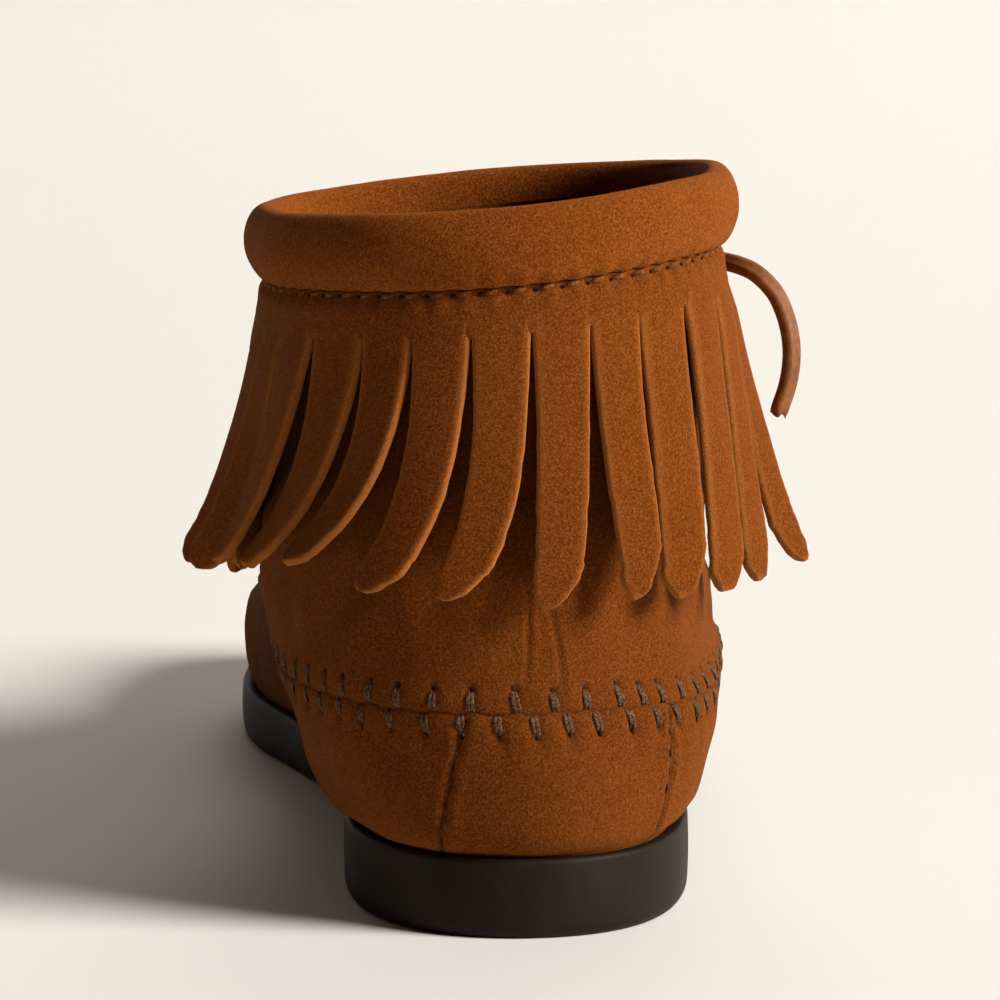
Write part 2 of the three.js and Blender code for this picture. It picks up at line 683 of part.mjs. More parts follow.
addPiece("outsole", outsole(), sole);
addPiece("insole", insole(), material(0x9a6a3a, 0.9));
addPiece("upper", upper(), suede);
addPiece("collar_roll", collarRoll(), suede);
addPiece("fringe", fringe(), suede);
addPiece("lace_knot", laceKnot(), thong);
addPiece("lace_end_outer", laceTube(laceRoute, 2 * laceWidth), thong);

export default boot;
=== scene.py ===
import math
import bmesh
import bpy
import numpy as np
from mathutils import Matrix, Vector


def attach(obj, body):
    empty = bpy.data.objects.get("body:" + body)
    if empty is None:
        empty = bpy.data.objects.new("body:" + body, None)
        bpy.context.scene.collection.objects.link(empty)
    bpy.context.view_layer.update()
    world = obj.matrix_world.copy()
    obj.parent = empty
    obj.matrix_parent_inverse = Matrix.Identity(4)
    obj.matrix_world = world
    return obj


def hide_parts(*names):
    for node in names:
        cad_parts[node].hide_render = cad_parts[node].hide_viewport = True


# Fringed suede moccasin ankle boot for a right foot. Sizes below are in millimetres, as in the
# part's source, and meshes are made in metres. +Y runs from heel to toe, +X to the outer side.
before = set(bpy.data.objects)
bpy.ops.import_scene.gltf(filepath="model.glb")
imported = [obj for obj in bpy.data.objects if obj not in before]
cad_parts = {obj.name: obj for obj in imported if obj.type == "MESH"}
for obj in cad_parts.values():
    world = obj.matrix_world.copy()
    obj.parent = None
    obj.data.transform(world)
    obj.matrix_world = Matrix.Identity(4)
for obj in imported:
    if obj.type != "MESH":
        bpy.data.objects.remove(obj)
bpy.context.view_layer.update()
mm = 0.001

# Driving sizes, the same as the part's own.
boot = {
    "soleLength": 244, "heelReach": 31, "heelWidth": 63, "waistWidth": 61, "ballWidth": 88,
    "toeSwing": 6, "soleHeel": 14.3, "soleBall": 10.2, "toeSpring": 7, "archLift": 2,
    "rimWidth": 2.4, "rimDepth": 2.2, "topRound": 1.3, "treadBevel": 2.6,
    "fit": 0.3, "wall": 2.2, "insoleThickness": 3, "ankleWidth": 79, "bootHeight": 129,
    "frontDrop": 5, "sideRise": 7, "shaftLean": -3.5, "seamRise": 1.5, "seamRiseHeel": 0.3,
    "rollHeight": 13.4, "rollSkew": 0.01, "rollBulge": 2.5, "rollSkin": 1.6, "rollInside": 10,
    "fringeThickness": 1.6, "fringeLength": 57, "slitStart": 8.3, "strandWidth": 11,
    "strandFlare": 8,
    "laceWidth": 3.4, "laceHoleSpread": 17, "laceDrop": 3.7,
}
fit = boot["fit"]
wall = boot["wall"]
toeReach = boot["soleLength"] - boot["heelReach"]
stripOut = fit + boot["fringeThickness"]

# Camera: the photo's direction and distance, aimed at the boot.
view = {
    "azimuth": -3.1, "elevation": 9.95, "distance": 1400, "target": (0, 60, 62),
    "pixelsPerRadian": 6211, "photoPixels": 1000, "closer": 1.22, "sensor": 36,
    "farthest": 20,
}


# The camera looks back along its azimuth and elevation, and its lens is the photo's pixels per
# radian turned into millimetres of the sensor.
def addCamera():
    turn = math.radians(view["azimuth"])
    rise = math.radians(view["elevation"])
    look = Vector((-math.sin(turn) * math.cos(rise), math.cos(turn) * math.cos(rise), -math.sin(rise)))
    camera = bpy.data.cameras.new("camera")
    camera.sensor_width = view["sensor"]
    camera.lens = view["sensor"] * view["closer"] * view["pixelsPerRadian"] / view["photoPixels"]
    camera.clip_end = view["farthest"]
    piece = bpy.data.objects.new("camera", camera)
    piece.location = (Vector(view["target"]) - look * view["distance"]) * mm
    piece.rotation_euler = look.to_track_quat("-Z", "Y").to_euler()
    bpy.context.scene.collection.objects.link(piece)
    bpy.context.scene.camera = piece


addCamera()
print("camera set")


# A smooth curve through values at rising stations, level at both ends.
def smoothThrough(stations, values, at):
    stations = np.asarray(stations, float)
    values = np.asarray(values, float)
    slopes = np.zeros(len(values))
    slopes[1:-1] = (values[2:] - values[:-2]) / (stations[2:] - stations[:-2])
    at = np.clip(at, stations[0], stations[-1])
    i = np.clip(np.searchsorted(stations, at, side="right") - 1, 0, len(stations) - 2)
    span = stations[i + 1] - stations[i]
    f = (at - stations[i]) / span
    return (
        (1 + 2 * f) * (1 - f) ** 2 * values[i] + f * (1 - f) ** 2 * span * slopes[i]
        + f * f * (3 - 2 * f) * values[i + 1] + f * f * (f - 1) * span * slopes[i + 1]
    )


# A ramp from 0 at low to 1 at high, level at both ends: f squared times (3 - 2f).
def smoothStep(at, low, high):
    f = np.clip((at - low) / (high - low), 0, 1)
    return f * f * (3 - 2 * f)


# Share of a ring's length at a turn: 0 at the heel and 1 at the toe.
def alongAt(turn):
    return (1 - np.cos(turn)) / 2


# Rounds a ring's ends: 0 at the ends and near 1 between them, blunter with a larger power.
def endRound(turn, backPower, frontPower):
    c = np.cos(turn)
    return np.sqrt(np.maximum(0, 1 - np.abs(c) ** np.where(c > 0, backPower, frontPower)))


# Outline of the sole: share of its length, and half widths on the inner and outer side.
soleShares = [0, 0.14, 0.42, 0.57, 0.7, 0.83, 1]
soleWidths = [boot["heelWidth"]] * 2 + [boot["waistWidth"]] + [boot["ballWidth"]] * 4
innerHalves = np.array([0.48, 0.5, 0.44, 0.41, 0.51, 0.5, 0.4]) * soleWidths
outerHalves = np.array([0.48, 0.5, 0.54, 0.46, 0.49, 0.44, 0.36]) * soleWidths


# The toe's swing to the inner side grows smoothly over the front half.
def swingAt(share):
    return -boot["toeSwing"] * smoothStep(share, 0.55, 1.15) ** 1.5


# The sole's outline: a half width for each side, rounded at both ends, on the swinging middle.
def solePlan(turn):
    share = alongAt(turn)
    outer = np.sin(turn) >= 0
    inside = smoothThrough(soleShares, innerHalves, share)
    outside = smoothThrough(soleShares, outerHalves, share)
    half = np.where(outer, outside, -inside) * endRound(turn, 8, 5.5)
    return np.stack([half + swingAt(share), share * boot["soleLength"] - boot["heelReach"]], -1)


# The sole's outline moved inwards by inset, along its own normal.
def outlineAt(turn, inset):
    along = solePlan(turn + 1e-3) - solePlan(turn - 1e-3)
    along /= np.linalg.norm(along, axis=-1, keepdims=True)
    inwards = np.stack([-along[..., 1], along[..., 0]], -1)
    return solePlan(turn) + inwards * np.asarray(inset)[..., None]


# The sole's middle line: half the difference of its two half widths, plus the swing.
def soleCentre(share):
    outer = smoothThrough(soleShares, outerHalves, share)
    return (outer - smoothThrough(soleShares, innerHalves, share)) / 2 + swingAt(share)


# Share of the sole's length at a distance along the boot.
def shareOf(y):
    return np.clip((y + boot["heelReach"]) / boot["soleLength"], 0, 1)


# Toe spring rises with the square of the distance past the ball.
def springAt(share):
    return boot["toeSpring"] * (np.maximum(0, share - 0.74) / 0.26) ** 2


# Height of the tread: a flat arch between two smooth steps, plus the spring.
def treadZ(share):
    arch = smoothStep(share, 0.24, 0.36) - smoothStep(share, 0.44, 0.56)
    return boot["archLift"] * arch + springAt(share)


# Height of the sole's rim, falling smoothly from heel to ball, plus the spring.
def rimZ(share):
    fall = smoothStep(share, 0.2, 0.62)
    return boot["soleHeel"] + (boot["soleBall"] - boot["soleHeel"]) * fall + springAt(share)


def seatZ(share):
    return rimZ(share) - boot["rimDepth"]


upperRise = boot["bootHeight"] - boot["rollSkin"] - fit - seatZ(0)
frontShare = 1 - boot["frontDrop"] / upperRise

# Rings of the upper, as shares of the named sizes: ends (back, front), heights (backUp, midUp,
# frontUp), half widths (heel, waist, ball, toe), bluntness (roundBack, roundFront), and how far
# the ring follows the sole's middle line (foot), the shaft's lean and the collar's tilt.
ringNames = [
    "back", "front", "backUp", "midUp", "frontUp", "heel", "waist", "ball", "toe",
    "roundBack", "roundFront", "foot", "lean", "tilt",
]
rings = [dict(zip(ringNames, row)) for row in [
    (1.02, 1.0, 0.055, 0.058, 0.055, 0.87, 0.865, 0.955, 0.84, 6, 4.8, 1, 0.1, 0),
    (1.08, 0.988, 0.16, 0.165, 0.122, 0.985, 0.965, 0.945, 0.81, 5.1, 5, 1, 0.5, 0),
    (1.1, 0.957, 0.205, 0.228, 0.168, 1.0, 0.98, 0.895, 0.74, 4.8, 5.2, 1, 0.75, 0),
    (1.1, 0.9, 0.245, 0.282, 0.198, 1.0, 0.98, 0.8, 0.64, 4.6, 5, 0.9, 0.9, 0),
    (1.09, 0.765, 0.34, 0.37, 0.325, 0.985, 0.95, 0.71, 0.52, 4.2, 4.6, 0.7, 1, 0),
    (1.07, 0.61, 0.47, 0.485, 0.445, 0.975, 0.935, 0.7, 0.5, 3.4, 4, 0.4, 1, 0),
    (1.05, 0.484, 0.63, 0.632, 0.585, 0.98, 0.965, 0.8, 0.66, 2.8, 3.1, 0.1, 1, 0.3),
    (1.02, 0.396, 0.815, 0.806, 0.775, 0.98, 0.99, 0.88, 0.84, 2.35, 2.4, 0, 1, 0.7),
    (1.0, 0.343, 1, (1 + frontShare) / 2, frontShare, 0.985, 1.005, 0.93, 0.93, 2.1, 2.1, 0, 1, 1),
]]
seamLevel = 5
topLevel = 10


# One ring of the upper: half widths through five stations, rounded at both ends, on a middle line
# between the sole's and the shaft's, at a height through three stations and tilted to the side.
def ringPoints(ring, turn):
    along = alongAt(turn)
    back = -ring["back"] * boot["heelReach"]
    y = back + (ring["front"] * toeReach - back) * along
    ankle = boot["ankleWidth"] / 2
    ball = boot["ballWidth"] / 2
    halves = [ring["heel"] * ankle] * 2 + [ring["waist"] * ankle, ring["ball"] * ball, ring["toe"] * ball]
    half = smoothThrough([0, 0.15, 0.42, 0.72, 1], halves, along)
    side = np.where(np.sin(turn) >= 0, 1, -1)
    reach = side * half * endRound(turn, ring["roundBack"], ring["roundFront"])
    centre = ring["foot"] * soleCentre(shareOf(y)) + ring["lean"] * boot["shaftLean"]
    up = smoothThrough([0, 0.42, 1], [ring["backUp"], ring["midUp"], ring["frontUp"]], along)
    tilted = ring["tilt"] * boot["sideRise"] * reach / boot["ankleWidth"]
    return np.stack([centre + reach, y, seatZ(shareOf(y)) + up * upperRise + tilted], -1)


# The upper's lowest rings: the sole's outline drawn inside the rim.
def footPoints(turn, up):
    plan = outlineAt(turn, boot["rimWidth"] + fit)
    return np.concatenate([plan, (seatZ(shareOf(plan[..., 1])) + fit + up)[..., None]], -1)


# A centripetal Catmull-Rom curve from p1 to p2 at a share w.
def catmull(p0, p1, p2, p3, w):
    d0, d1, d2 = [np.sum((b - a) ** 2, -1, keepdims=True) ** 0.25 for a, b in ((p0, p1), (p1, p2), (p2, p3))]
    t1 = ((p1 - p0) / d0 - (p2 - p0) / (d0 + d1) + (p2 - p1) / d1) * d1
    t2 = ((p2 - p1) / d1 - (p3 - p1) / (d1 + d2) + (p3 - p2) / d2) * d1
    return p1 + t1 * w + (3 * (p2 - p1) - 2 * t1 - t2) * w**2 + (2 * (p1 - p2) + t1 + t2) * w**3


# The upper's outer face: a smooth curve up each line through the rings.
def skin(turn, level):
    turn, level = np.broadcast_arrays(np.asarray(turn, float), np.asarray(level, float))
    shape = turn.shape
    turn = turn.ravel()
    level = level.ravel()
    rows = [footPoints(turn, 0), footPoints(turn, boot["rimDepth"])]
    rows = np.stack(rows + [ringPoints(ring, turn) for ring in rings])
    k = np.clip(np.floor(level).astype(int), 0, topLevel - 1)
    w = (level - k)[:, None]
    n = np.arange(len(turn))
    p1 = rows[k, n]
    p2 = rows[k + 1, n]
    p0 = np.where((k > 0)[:, None], rows[np.maximum(k - 1, 0), n], 2 * p1 - p2)
    p3 = np.where((k < topLevel - 1)[:, None], rows[np.minimum(k + 2, topLevel), n], 2 * p2 - p1)
    points = catmull(p0, p1, p2, p3, w)
    return points.reshape(shape + (3,))


# Vectors of length 1.
def unit(vectors):
    return vectors / np.maximum(np.linalg.norm(vectors, axis=-1, keepdims=True), 1e-9)


# Length run along the first axis of a list of points, from 0.
def lengthsAlong(points):
    steps = np.linalg.norm(np.diff(points, axis=0), axis=-1)
    return np.concatenate([np.zeros((1,) + steps.shape[1:]), np.cumsum(steps, axis=0)])


# A point of the skin with its normal and the directions up and round, from small differences.
def skinFrame(turn, level):
    step = 0.01
    up = skin(turn, np.minimum(level + step, topLevel)) - skin(turn, np.maximum(level - step, 0))
    across = skin(turn + step, level) - skin(turn - step, level)
    return skin(turn, level), unit(np.cross(across, up)), unit(up), unit(across)


# Level reached by going down from the shaft's edge along the skin by each drop (rows) at each turn.
def levelBelow(turn, drops):
    ladder = np.linspace(topLevel, 6, 161)
    points = skin(turn[None, :], ladder[:, None])
    gone = lengthsAlong(points)
    drops = np.maximum(drops, 0)
    low = np.clip((gone[None] <= drops[:, None]).sum(1) - 1, 0, len(ladder) - 2)
    n = np.arange(len(turn))[None, :]
    f = (drops - gone[low, n]) / (gone[low + 1, n] - gone[low, n])
    return ladder[low] + f * (ladder[low + 1] - ladder[low])


# Points placed out from the skin and up (or down, if negative) from the shaft's edge.
def placeOnEdge(turn, out, up):
    out, up = np.broadcast_arrays(np.asarray(out, float), np.asarray(up, float))
    level = levelBelow(turn, -up)
    point, normal, upwards, _ = skinFrame(turn[None, :], level)
    return point + normal * out[..., None] + upwards * np.maximum(0, up)[..., None]


# How far the roll reaches down from the shaft's edge.
def rollDropAt(turn):
    return (boot["rollHeight"] - boot["rollSkin"] - fit) * (1 + boot["rollSkew"] * np.sin(turn))


# How far down the fringe's slits begin.
def slitDropAt(turn):
    return rollDropAt(turn) + fit + boot["slitStart"]


# Turns spread round the boot, closer together at the back than at the front.
def spreadTurns(count, level, backDensity):
    fine = np.linspace(-math.pi, math.pi, 2401)
    points = skin(fine, np.full_like(fine, level))
    step = np.linalg.norm(np.diff(points, axis=0), axis=-1)
    middle = (fine[1:] + fine[:-1]) / 2
    weight = step * (1 + (backDensity - 1) * smoothStep(np.cos(middle), 0.2, 0.95))
    total = np.concatenate([[0], np.cumsum(weight)])
    return np.interp(np.linspace(0, total[-1], count, endpoint=False), total, fine)


# A mesh of a grid of points (rows of rings). closedRows joins the last ring to the first; otherwise
# each end is filled when capped. Every ring is closed. values are float attributes per point.
def addGrid(name, points, closedRows=False, capped=False, values=None):
    rows, count = points.shape[:2]
    index = np.arange(rows * count).reshape(rows, count)
    low = index if closedRows else index[:-1]
    high = np.roll(index, -1, 0) if closedRows else index[1:]
    quads = np.stack([low, np.roll(low, -1, 1), np.roll(high, -1, 1), high], -1).reshape(-1, 4)
    ends = [index[0][::-1], index[-1]] if capped else []
    return addMesh(name, points.reshape(-1, 3), quads, ends, values)


# A smooth mesh from points in millimetres, faces of one size, larger end faces and attributes.
def addMesh(name, points, faces, ends=(), values=None):
    mesh = bpy.data.meshes.new(name)
    corners = np.concatenate([faces.ravel()] + [np.asarray(end) for end in ends]).astype(np.int32)
    sizes = np.array([faces.shape[1]] * len(faces) + [len(end) for end in ends], np.int32)
    mesh.vertices.add(len(points))
    mesh.vertices.foreach_set("co", (points * mm).ravel().astype(np.float32))
    mesh.loops.add(len(corners))
    mesh.loops.foreach_set("vertex_index", corners)
    mesh.polygons.add(len(sizes))
    mesh.polygons.foreach_set("loop_start", np.concatenate([[0], np.cumsum(sizes)[:-1]]).astype(np.int32))
    mesh.polygons.foreach_set("use_smooth", np.ones(len(sizes), bool))
    for key, data in (values or {}).items():
        layer = mesh.attributes.new(key, "FLOAT", "POINT")
        layer.data.foreach_set("value", np.broadcast_to(data, points.shape[:1]).astype(np.float32).ravel())
    mesh.update(calc_edges=True)
    mesh.validate()
    piece = bpy.data.objects.new(name, mesh)
    bpy.context.scene.collection.objects.link(piece)
    return piece


# Many copies of one closed tube-like shape in one mesh: shapes is (copies, rows, count, 3).
def addTubes(name, shapes, values=None):
    copies, rows, count = shapes.shape[:3]
    index = np.arange(rows * count).reshape(rows, count)
    low = index[:-1]
    high = index[1:]
    quads = np.stack([low, np.roll(low, -1, 1), np.roll(high, -1, 1), high], -1).reshape(-1, 4)
    start = (np.arange(copies) * rows * count)[:, None, None]
    quads = (quads[None] + start).reshape(-1, 4)
    ends = []
    for k in range(copies):
        ends.append(index[0][::-1] + k * rows * count)
        ends.append(index[-1] + k * rows * count)
    return addMesh(name, shapes.reshape(-1, 3), quads, ends, values)


# Round or flattened tubes along paths: paths is (copies, rows, 3), out the direction of the short
# axis at each point, and wide and high the half sizes there.
def tubeShapes(paths, out, wide, high, sides):
    along = unit(np.gradient(paths, axis=1))
    flat = unit(np.cross(out, along))
    lift = unit(np.cross(along, flat))
    angle = np.linspace(0, 2 * math.pi, sides, endpoint=False)
    x = np.cos(angle)[None, None, :, None] * flat[:, :, None] * np.asarray(wide)[..., None, None]
    y = np.sin(angle)[None, None, :, None] * lift[:, :, None] * np.asarray(high)[..., None, None]
    return paths[:, :, None] + x + y


# Gives a piece its material and body, and hides the imported parts that it stands for. slot is not used.
def dress(piece, material, slot, *nodes):
    piece.data.materials.append(material)
    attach(piece, "root")
    if nodes:
        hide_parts(*nodes)
    return piece


class Nodes:
    # Short calls for building a material's node tree.
    def __init__(self, name):
        self.material = bpy.data.materials.new(name)
        self.material.use_nodes = True
        self.tree = self.material.node_tree
        self.shader = self.tree.nodes["Principled BSDF"]
        self.place = self.tree.nodes.new("ShaderNodeTexCoord").outputs["Object"]

    def add(self, kind, inputs=None, **settings):
        node = self.tree.nodes.new(kind)
        for key, value in settings.items():
            setattr(node, key, value)
        for key, value in (inputs or {}).items():
            self.feed(node.inputs[key], value)
        return node

    def feed(self, socket, value):
        if isinstance(value, bpy.types.NodeSocket):
            self.tree.links.new(value, socket)
        else:
            socket.default_value = value

    def noise(self, scale, detail=2, rough=0.5, distortion=0, place=None):
        return self.add("ShaderNodeTexNoise", {
            "Vector": place or self.place, "Scale": scale, "Detail": detail,
            "Roughness": rough, "Distortion": distortion,
        }).outputs["Fac"]

    def ramp(self, value, low, high):
        return self.add("ShaderNodeMapRange", {
            "Value": value, "From Min": low, "From Max": high,
        }, interpolation_type="SMOOTHSTEP").outputs["Result"]

    def math(self, operation, a, b):
        return self.add("ShaderNodeMath", {0: a, 1: b}, operation=operation).outputs[0]

    def times(self, a, b):
        return self.math("MULTIPLY", a, b)

    def mix(self, share, a, b):
        node = self.add("ShaderNodeMix", data_type="RGBA")
        self.feed(node.inputs["Factor"], share)
        self.feed(node.inputs["A"], a if isinstance(a, bpy.types.NodeSocket) else (*a, 1))
        self.feed(node.inputs["B"], b if isinstance(b, bpy.types.NodeSocket) else (*b, 1))
        return node.outputs["Result"]

    def value(self, name):
        return self.add("ShaderNodeAttribute", attribute_name=name).outputs["Fac"]

    def bump(self, height, strength, distance, before=None):
        inputs = {"Height": height, "Strength": strength, "Distance": distance}
        if before is not None:
            inputs["Normal"] = before
        return self.add("ShaderNodeBump", inputs).outputs["Normal"]

    def finish(self, **inputs):
        names = {
            "color": "Base Color", "roughness": "Roughness", "normal": "Normal",
            "sheen": "Sheen Weight", "sheenRough": "Sheen Roughness", "sheenTint": "Sheen Tint",
            "specular": "Specular IOR Level", "diffuseRough": "Diffuse Roughness",
        }
        for key, value in inputs.items():
            plain = isinstance(value, tuple) and len(value) == 3
            self.feed(self.shader.inputs[names[key]], (*value, 1) if plain else value)
        return self.material


# Suede: a fine mottled nap of pale flecks on a darker ground, brushed patches, darker where the groove
# attribute says (dark seam lines, holes and stitch dashes, plus painted shade) and paler on cut edges.
# Scales are per metre and reliefs in metres.
suede = {
    "ground": (0.094, 0.0195, 0.0010), "middle": (0.184, 0.0462, 0.0050),
    "fleck": (0.335, 0.101, 0.0175), "cut": (0.35, 0.118, 0.026), "deep": 0.35,
    "napScale": 2500, "fineScale": 5750, "patchScale": 40, "broadScale": 12,
    "napShare": 0.8, "patchShare": 0.2, "fleckShare": 0.66, "broadShare": 0.2,
    "cutShare": 0.9, "seamDarkAndShadeShare": 0.85, "relief": 0.00026, "fineRelief": 0.00013,
    "patchRelief": 0.0006, "dull": 0.95, "sheen": 0.10, "sheenRough": 0.45,
    "sheenTint": (0.78, 0.30, 0.055), "specular": 0.06, "diffuseRough": 0.8,
    # The roll's brighter copy of the suede is painted light, for the light falling on its top.
    "stripBrightness": 1.14, "rollLitBrightness": 1.35,
}


def suedeMaterial(name, brightness=1.0, cutEdges=False):
    n = Nodes(name)
    nap = n.noise(suede["napScale"], 2.5, 0.6, 0.7)
    fine = n.noise(suede["fineScale"], 2, 0.6, 0.4)
    patch = n.noise(suede["patchScale"], 3, 0.55, 0.3)
    broad = n.noise(suede["broadScale"], 2, 0.5)
    napTone = n.times(n.ramp(nap, 0.34, 0.64), suede["napShare"])
    patchTone = n.times(n.ramp(patch, 0.3, 0.7), suede["patchShare"])
    color = n.mix(n.math("ADD", napTone, patchTone), suede["ground"], suede["middle"])
    flecks = n.ramp(n.times(nap, n.ramp(fine, 0.25, 0.7)), 0.34, 0.56)
    color = n.mix(n.times(flecks, suede["fleckShare"]), color, suede["fleck"])
    color = n.mix(n.times(n.ramp(broad, 0.35, 0.75), suede["broadShare"]), color, suede["ground"])
    if cutEdges:
        fuzz = n.times(n.value("edge"), n.ramp(fine, 0.28, 0.56))
        color = n.mix(n.times(fuzz, suede["cutShare"]), color, suede["cut"])
    # Darkened by the groove attribute: dark seams, holes and dashes, plus painted shade.
    deep = tuple(suede["deep"] * c for c in suede["ground"])
    color = n.mix(n.times(n.value("groove"), suede["seamDarkAndShadeShare"]), color, deep)
    if brightness != 1:
        color = n.add("ShaderNodeHueSaturation", {"Color": color, "Value": brightness}).outputs["Color"]
    normal = n.bump(nap, 0.9, suede["relief"])
    normal = n.bump(fine, 0.5, suede["fineRelief"], normal)
    normal = n.bump(patch, 0.35, suede["patchRelief"], normal)
    return n.finish(
        color=color, roughness=suede["dull"], normal=normal, sheen=suede["sheen"],
        sheenRough=suede["sheenRough"], sheenTint=suede["sheenTint"],
        specular=suede["specular"], diffuseRough=suede["diffuseRough"],
    )


# Rubber of the sole: dark brown, satin, with a faint moulded grain and dull dusty patches.
rubber = {
    "dark": (0.0100, 0.0054, 0.0020), "dusty": (0.018, 0.0105, 0.0048), "dust": 0.6,
    "glossy": 0.49, "dull": 0.66, "specular": 0.13,
    "grainScale": 1500, "grainRelief": 0.00008, "waveScale": 220, "waveRelief": 0.0002,
}


def rubberMaterial():
    n = Nodes("soleRubber")
    grain = n.noise(rubber["grainScale"], 2, 0.5)
    patch = n.noise(70, 3, 0.6)
    dust = n.times(n.ramp(patch, 0.35, 0.75), rubber["dust"])
    color = n.mix(dust, rubber["dark"], rubber["dusty"])
    normal = n.bump(grain, 0.25, rubber["grainRelief"])
    normal = n.bump(n.noise(rubber["waveScale"], 2, 0.5), 0.25, rubber["waveRelief"], normal)
    rough = n.add("ShaderNodeMapRange", {
        "Value": patch, "To Min": rubber["glossy"], "To Max": rubber["dull"],
    }).outputs["Result"]
    return n.finish(color=color, roughness=rough, normal=normal, specular=rubber["specular"])


# Threads, from a dark to a pale tone along their twisted plies, with a soft gloss: waxed taupe for
# the seam, dark brown for the heel panel and brown for the collar.
thread = {
    "seam": {"dark": (0.028, 0.0120, 0.0044), "pale": (0.150, 0.071, 0.033), "dull": 0.62},
    "heel": {"dark": (0.022, 0.008, 0.003), "pale": (0.075, 0.027, 0.008), "dull": 0.7},
    "collar": {"dark": (0.09, 0.024, 0.003), "pale": (0.22, 0.070, 0.013), "dull": 0.8},
    "scale": 2600, "relief": 0.00015, "specular": 0.12,
}


def threadMaterial(name, kind):
    n = Nodes(name)
    strands = n.noise(thread["scale"], 2, 0.6, 0.5)
    color = n.mix(n.ramp(strands, 0.38, 0.66), thread[kind]["dark"], thread[kind]["pale"])
    normal = n.bump(strands, 0.6, thread["relief"])
    return n.finish(
        color=color, roughness=thread[kind]["dull"], normal=normal, specular=thread["specular"],
    )


# Plain finishes, mottled from a tone to a paler one: the dark of the holes and the insole's leather.
plain = {
    "hole": (0.012, 0.004, 0.0015), "holeDull": 0.95, "insole": (0.30, 0.15, 0.06), "insoleDull": 0.7,
    "scale": 900, "paler": 1.35, "specular": 0.2,
}


def plainMaterial(name, color, roughness):
    n = Nodes(name)
    tone = n.ramp(n.noise(plain["scale"], 2, 0.5), 0.3, 0.7)
    pale = tuple(plain["paler"] * c for c in color)
    return n.finish(color=n.mix(tone, color, pale), roughness=roughness, specular=plain["specular"])


suedeSkin = suedeMaterial("suede")
suedeStrip = suedeMaterial("suedeStrip", suede["stripBrightness"], cutEdges=True)
# The roll gets a brighter copy of the suede: painted light on its top.
suedeRollLit = suedeMaterial("suedeRollLit", suede["rollLitBrightness"])
stitchThread = threadMaterial("waxedThread", "seam")
darkThread = threadMaterial("darkThread", "heel")
collarThread = threadMaterial("collarThread", "collar")
holeDark = plainMaterial("stitchHole", plain["hole"], plain["holeDull"])
print("materials made")


# A turn brought between minus and plus half a circle.
def periodic(turn):
    return (turn + math.pi) % (2 * math.pi) - math.pi


# Lengths over the skin: h is the distance up a line from the seam, and u the distance round the
# seam from the back's middle towards the outer side.
tableTurns = np.linspace(-math.pi, math.pi, 721)
tableLevels = np.linspace(0, topLevel, 401)
tablePoints = skin(tableTurns[:, None], tableLevels[None, :])
tableHeights = lengthsAlong(tablePoints.swapaxes(0, 1)).T
seamColumn = round(seamLevel / topLevel * (len(tableLevels) - 1))
tableHeights = tableHeights - tableHeights[:, seamColumn:seamColumn + 1]
tableRound = lengthsAlong(tablePoints[:, seamColumn])
seamLength = tableRound[-1]
tableRound -= np.interp(0, tableTurns, tableRound)


# Distance round the seam at a turn.
def roundAt(turn):
    return np.interp(periodic(turn), tableTurns, tableRound)


# Turn at a distance round the seam.
def turnAt(u):
    u = (u - tableRound[0]) % seamLength + tableRound[0]
    return np.interp(u, tableRound, tableTurns)


# Heights over the seam of all table levels, at each turn.
def heightsOf(turn):
    place = (periodic(turn) + math.pi) / (2 * math.pi) * (len(tableTurns) - 1)
    i = np.clip(place.astype(int), 0, len(tableTurns) - 2)
    f = (place - i)[:, None]
    return tableHeights[i] * (1 - f) + tableHeights[i + 1] * f


# Level at a height h over the seam, for a list of turns (the last axis of h).
def levelFrom(turn, h):
    heights = heightsOf(turn)
    k = np.clip((heights <= h[..., None]).sum(-1) - 1, 0, len(tableLevels) - 2)
    n = np.arange(len(turn))
    low = heights[n, k]
    f = np.clip((h - low) / (heights[n, k + 1] - low), 0, 1)
    return (k + f) * (tableLevels[1] - tableLevels[0])


# The turn, on the back half, whose line passes x at a height h over the seam.
def turnAtX(x, h):
    turns = np.linspace(-1.5, 1.5, 401)
    across = skin(turns, levelFrom(turns, np.full(turns.shape, float(h))))[:, 0]
    return np.interp(x, across, turns)


# Soft lumps: a sum of sine waves in fixed random directions.
def lumps(points, size, seed, waves=9):
    random = np.random.default_rng(seed)
    ways = random.normal(size=(waves, 3))
    ways = ways / np.linalg.norm(ways, axis=1, keepdims=True) * 2 * math.pi / size
    ways *= random.uniform(0.7, 1.3, (waves, 1))
    return np.sin(points @ ways.T + random.uniform(0, 6.3, waves)).sum(-1) / math.sqrt(waves)


# A bell curve: e to minus the square of distance over width.
def bell(distance, width):
    return np.exp(-((distance / width) ** 2))


# Whip stitches over the seam. The bars at the back stand where the photo shows them, as x in
# millimetres; the rest follow at one pitch round the boot.
whip = {
    "above": [-16.7, -10.1, -2.1, 4.6, 10.3, 16.3, 20.3, 23.7, 27.1],
    "below": [-18, -11.9, -5.6, 0.75, 6.4, 11.6, 17.5, 22, 25],
    "pitch": 6.6, "length": 4.1, "width": 0.88, "height": 0.38, "lean": 0.5, "hole": 0.6,
    "groove": 0.3, "pull": 0.4, "scatter": 0.4, "barScatter": 0.35, "start": 0.15, "plyTwist": 0.36,
    "arch": [-0.3, 0.22, 0.36, 0.38, 0.34, 0.15, -0.5], "taper": [0.8, 1, 1, 1, 1, 0.98, 0.85],
    "holeWide": 0.55, "holeTall": 0.7, "sides": 6,
}


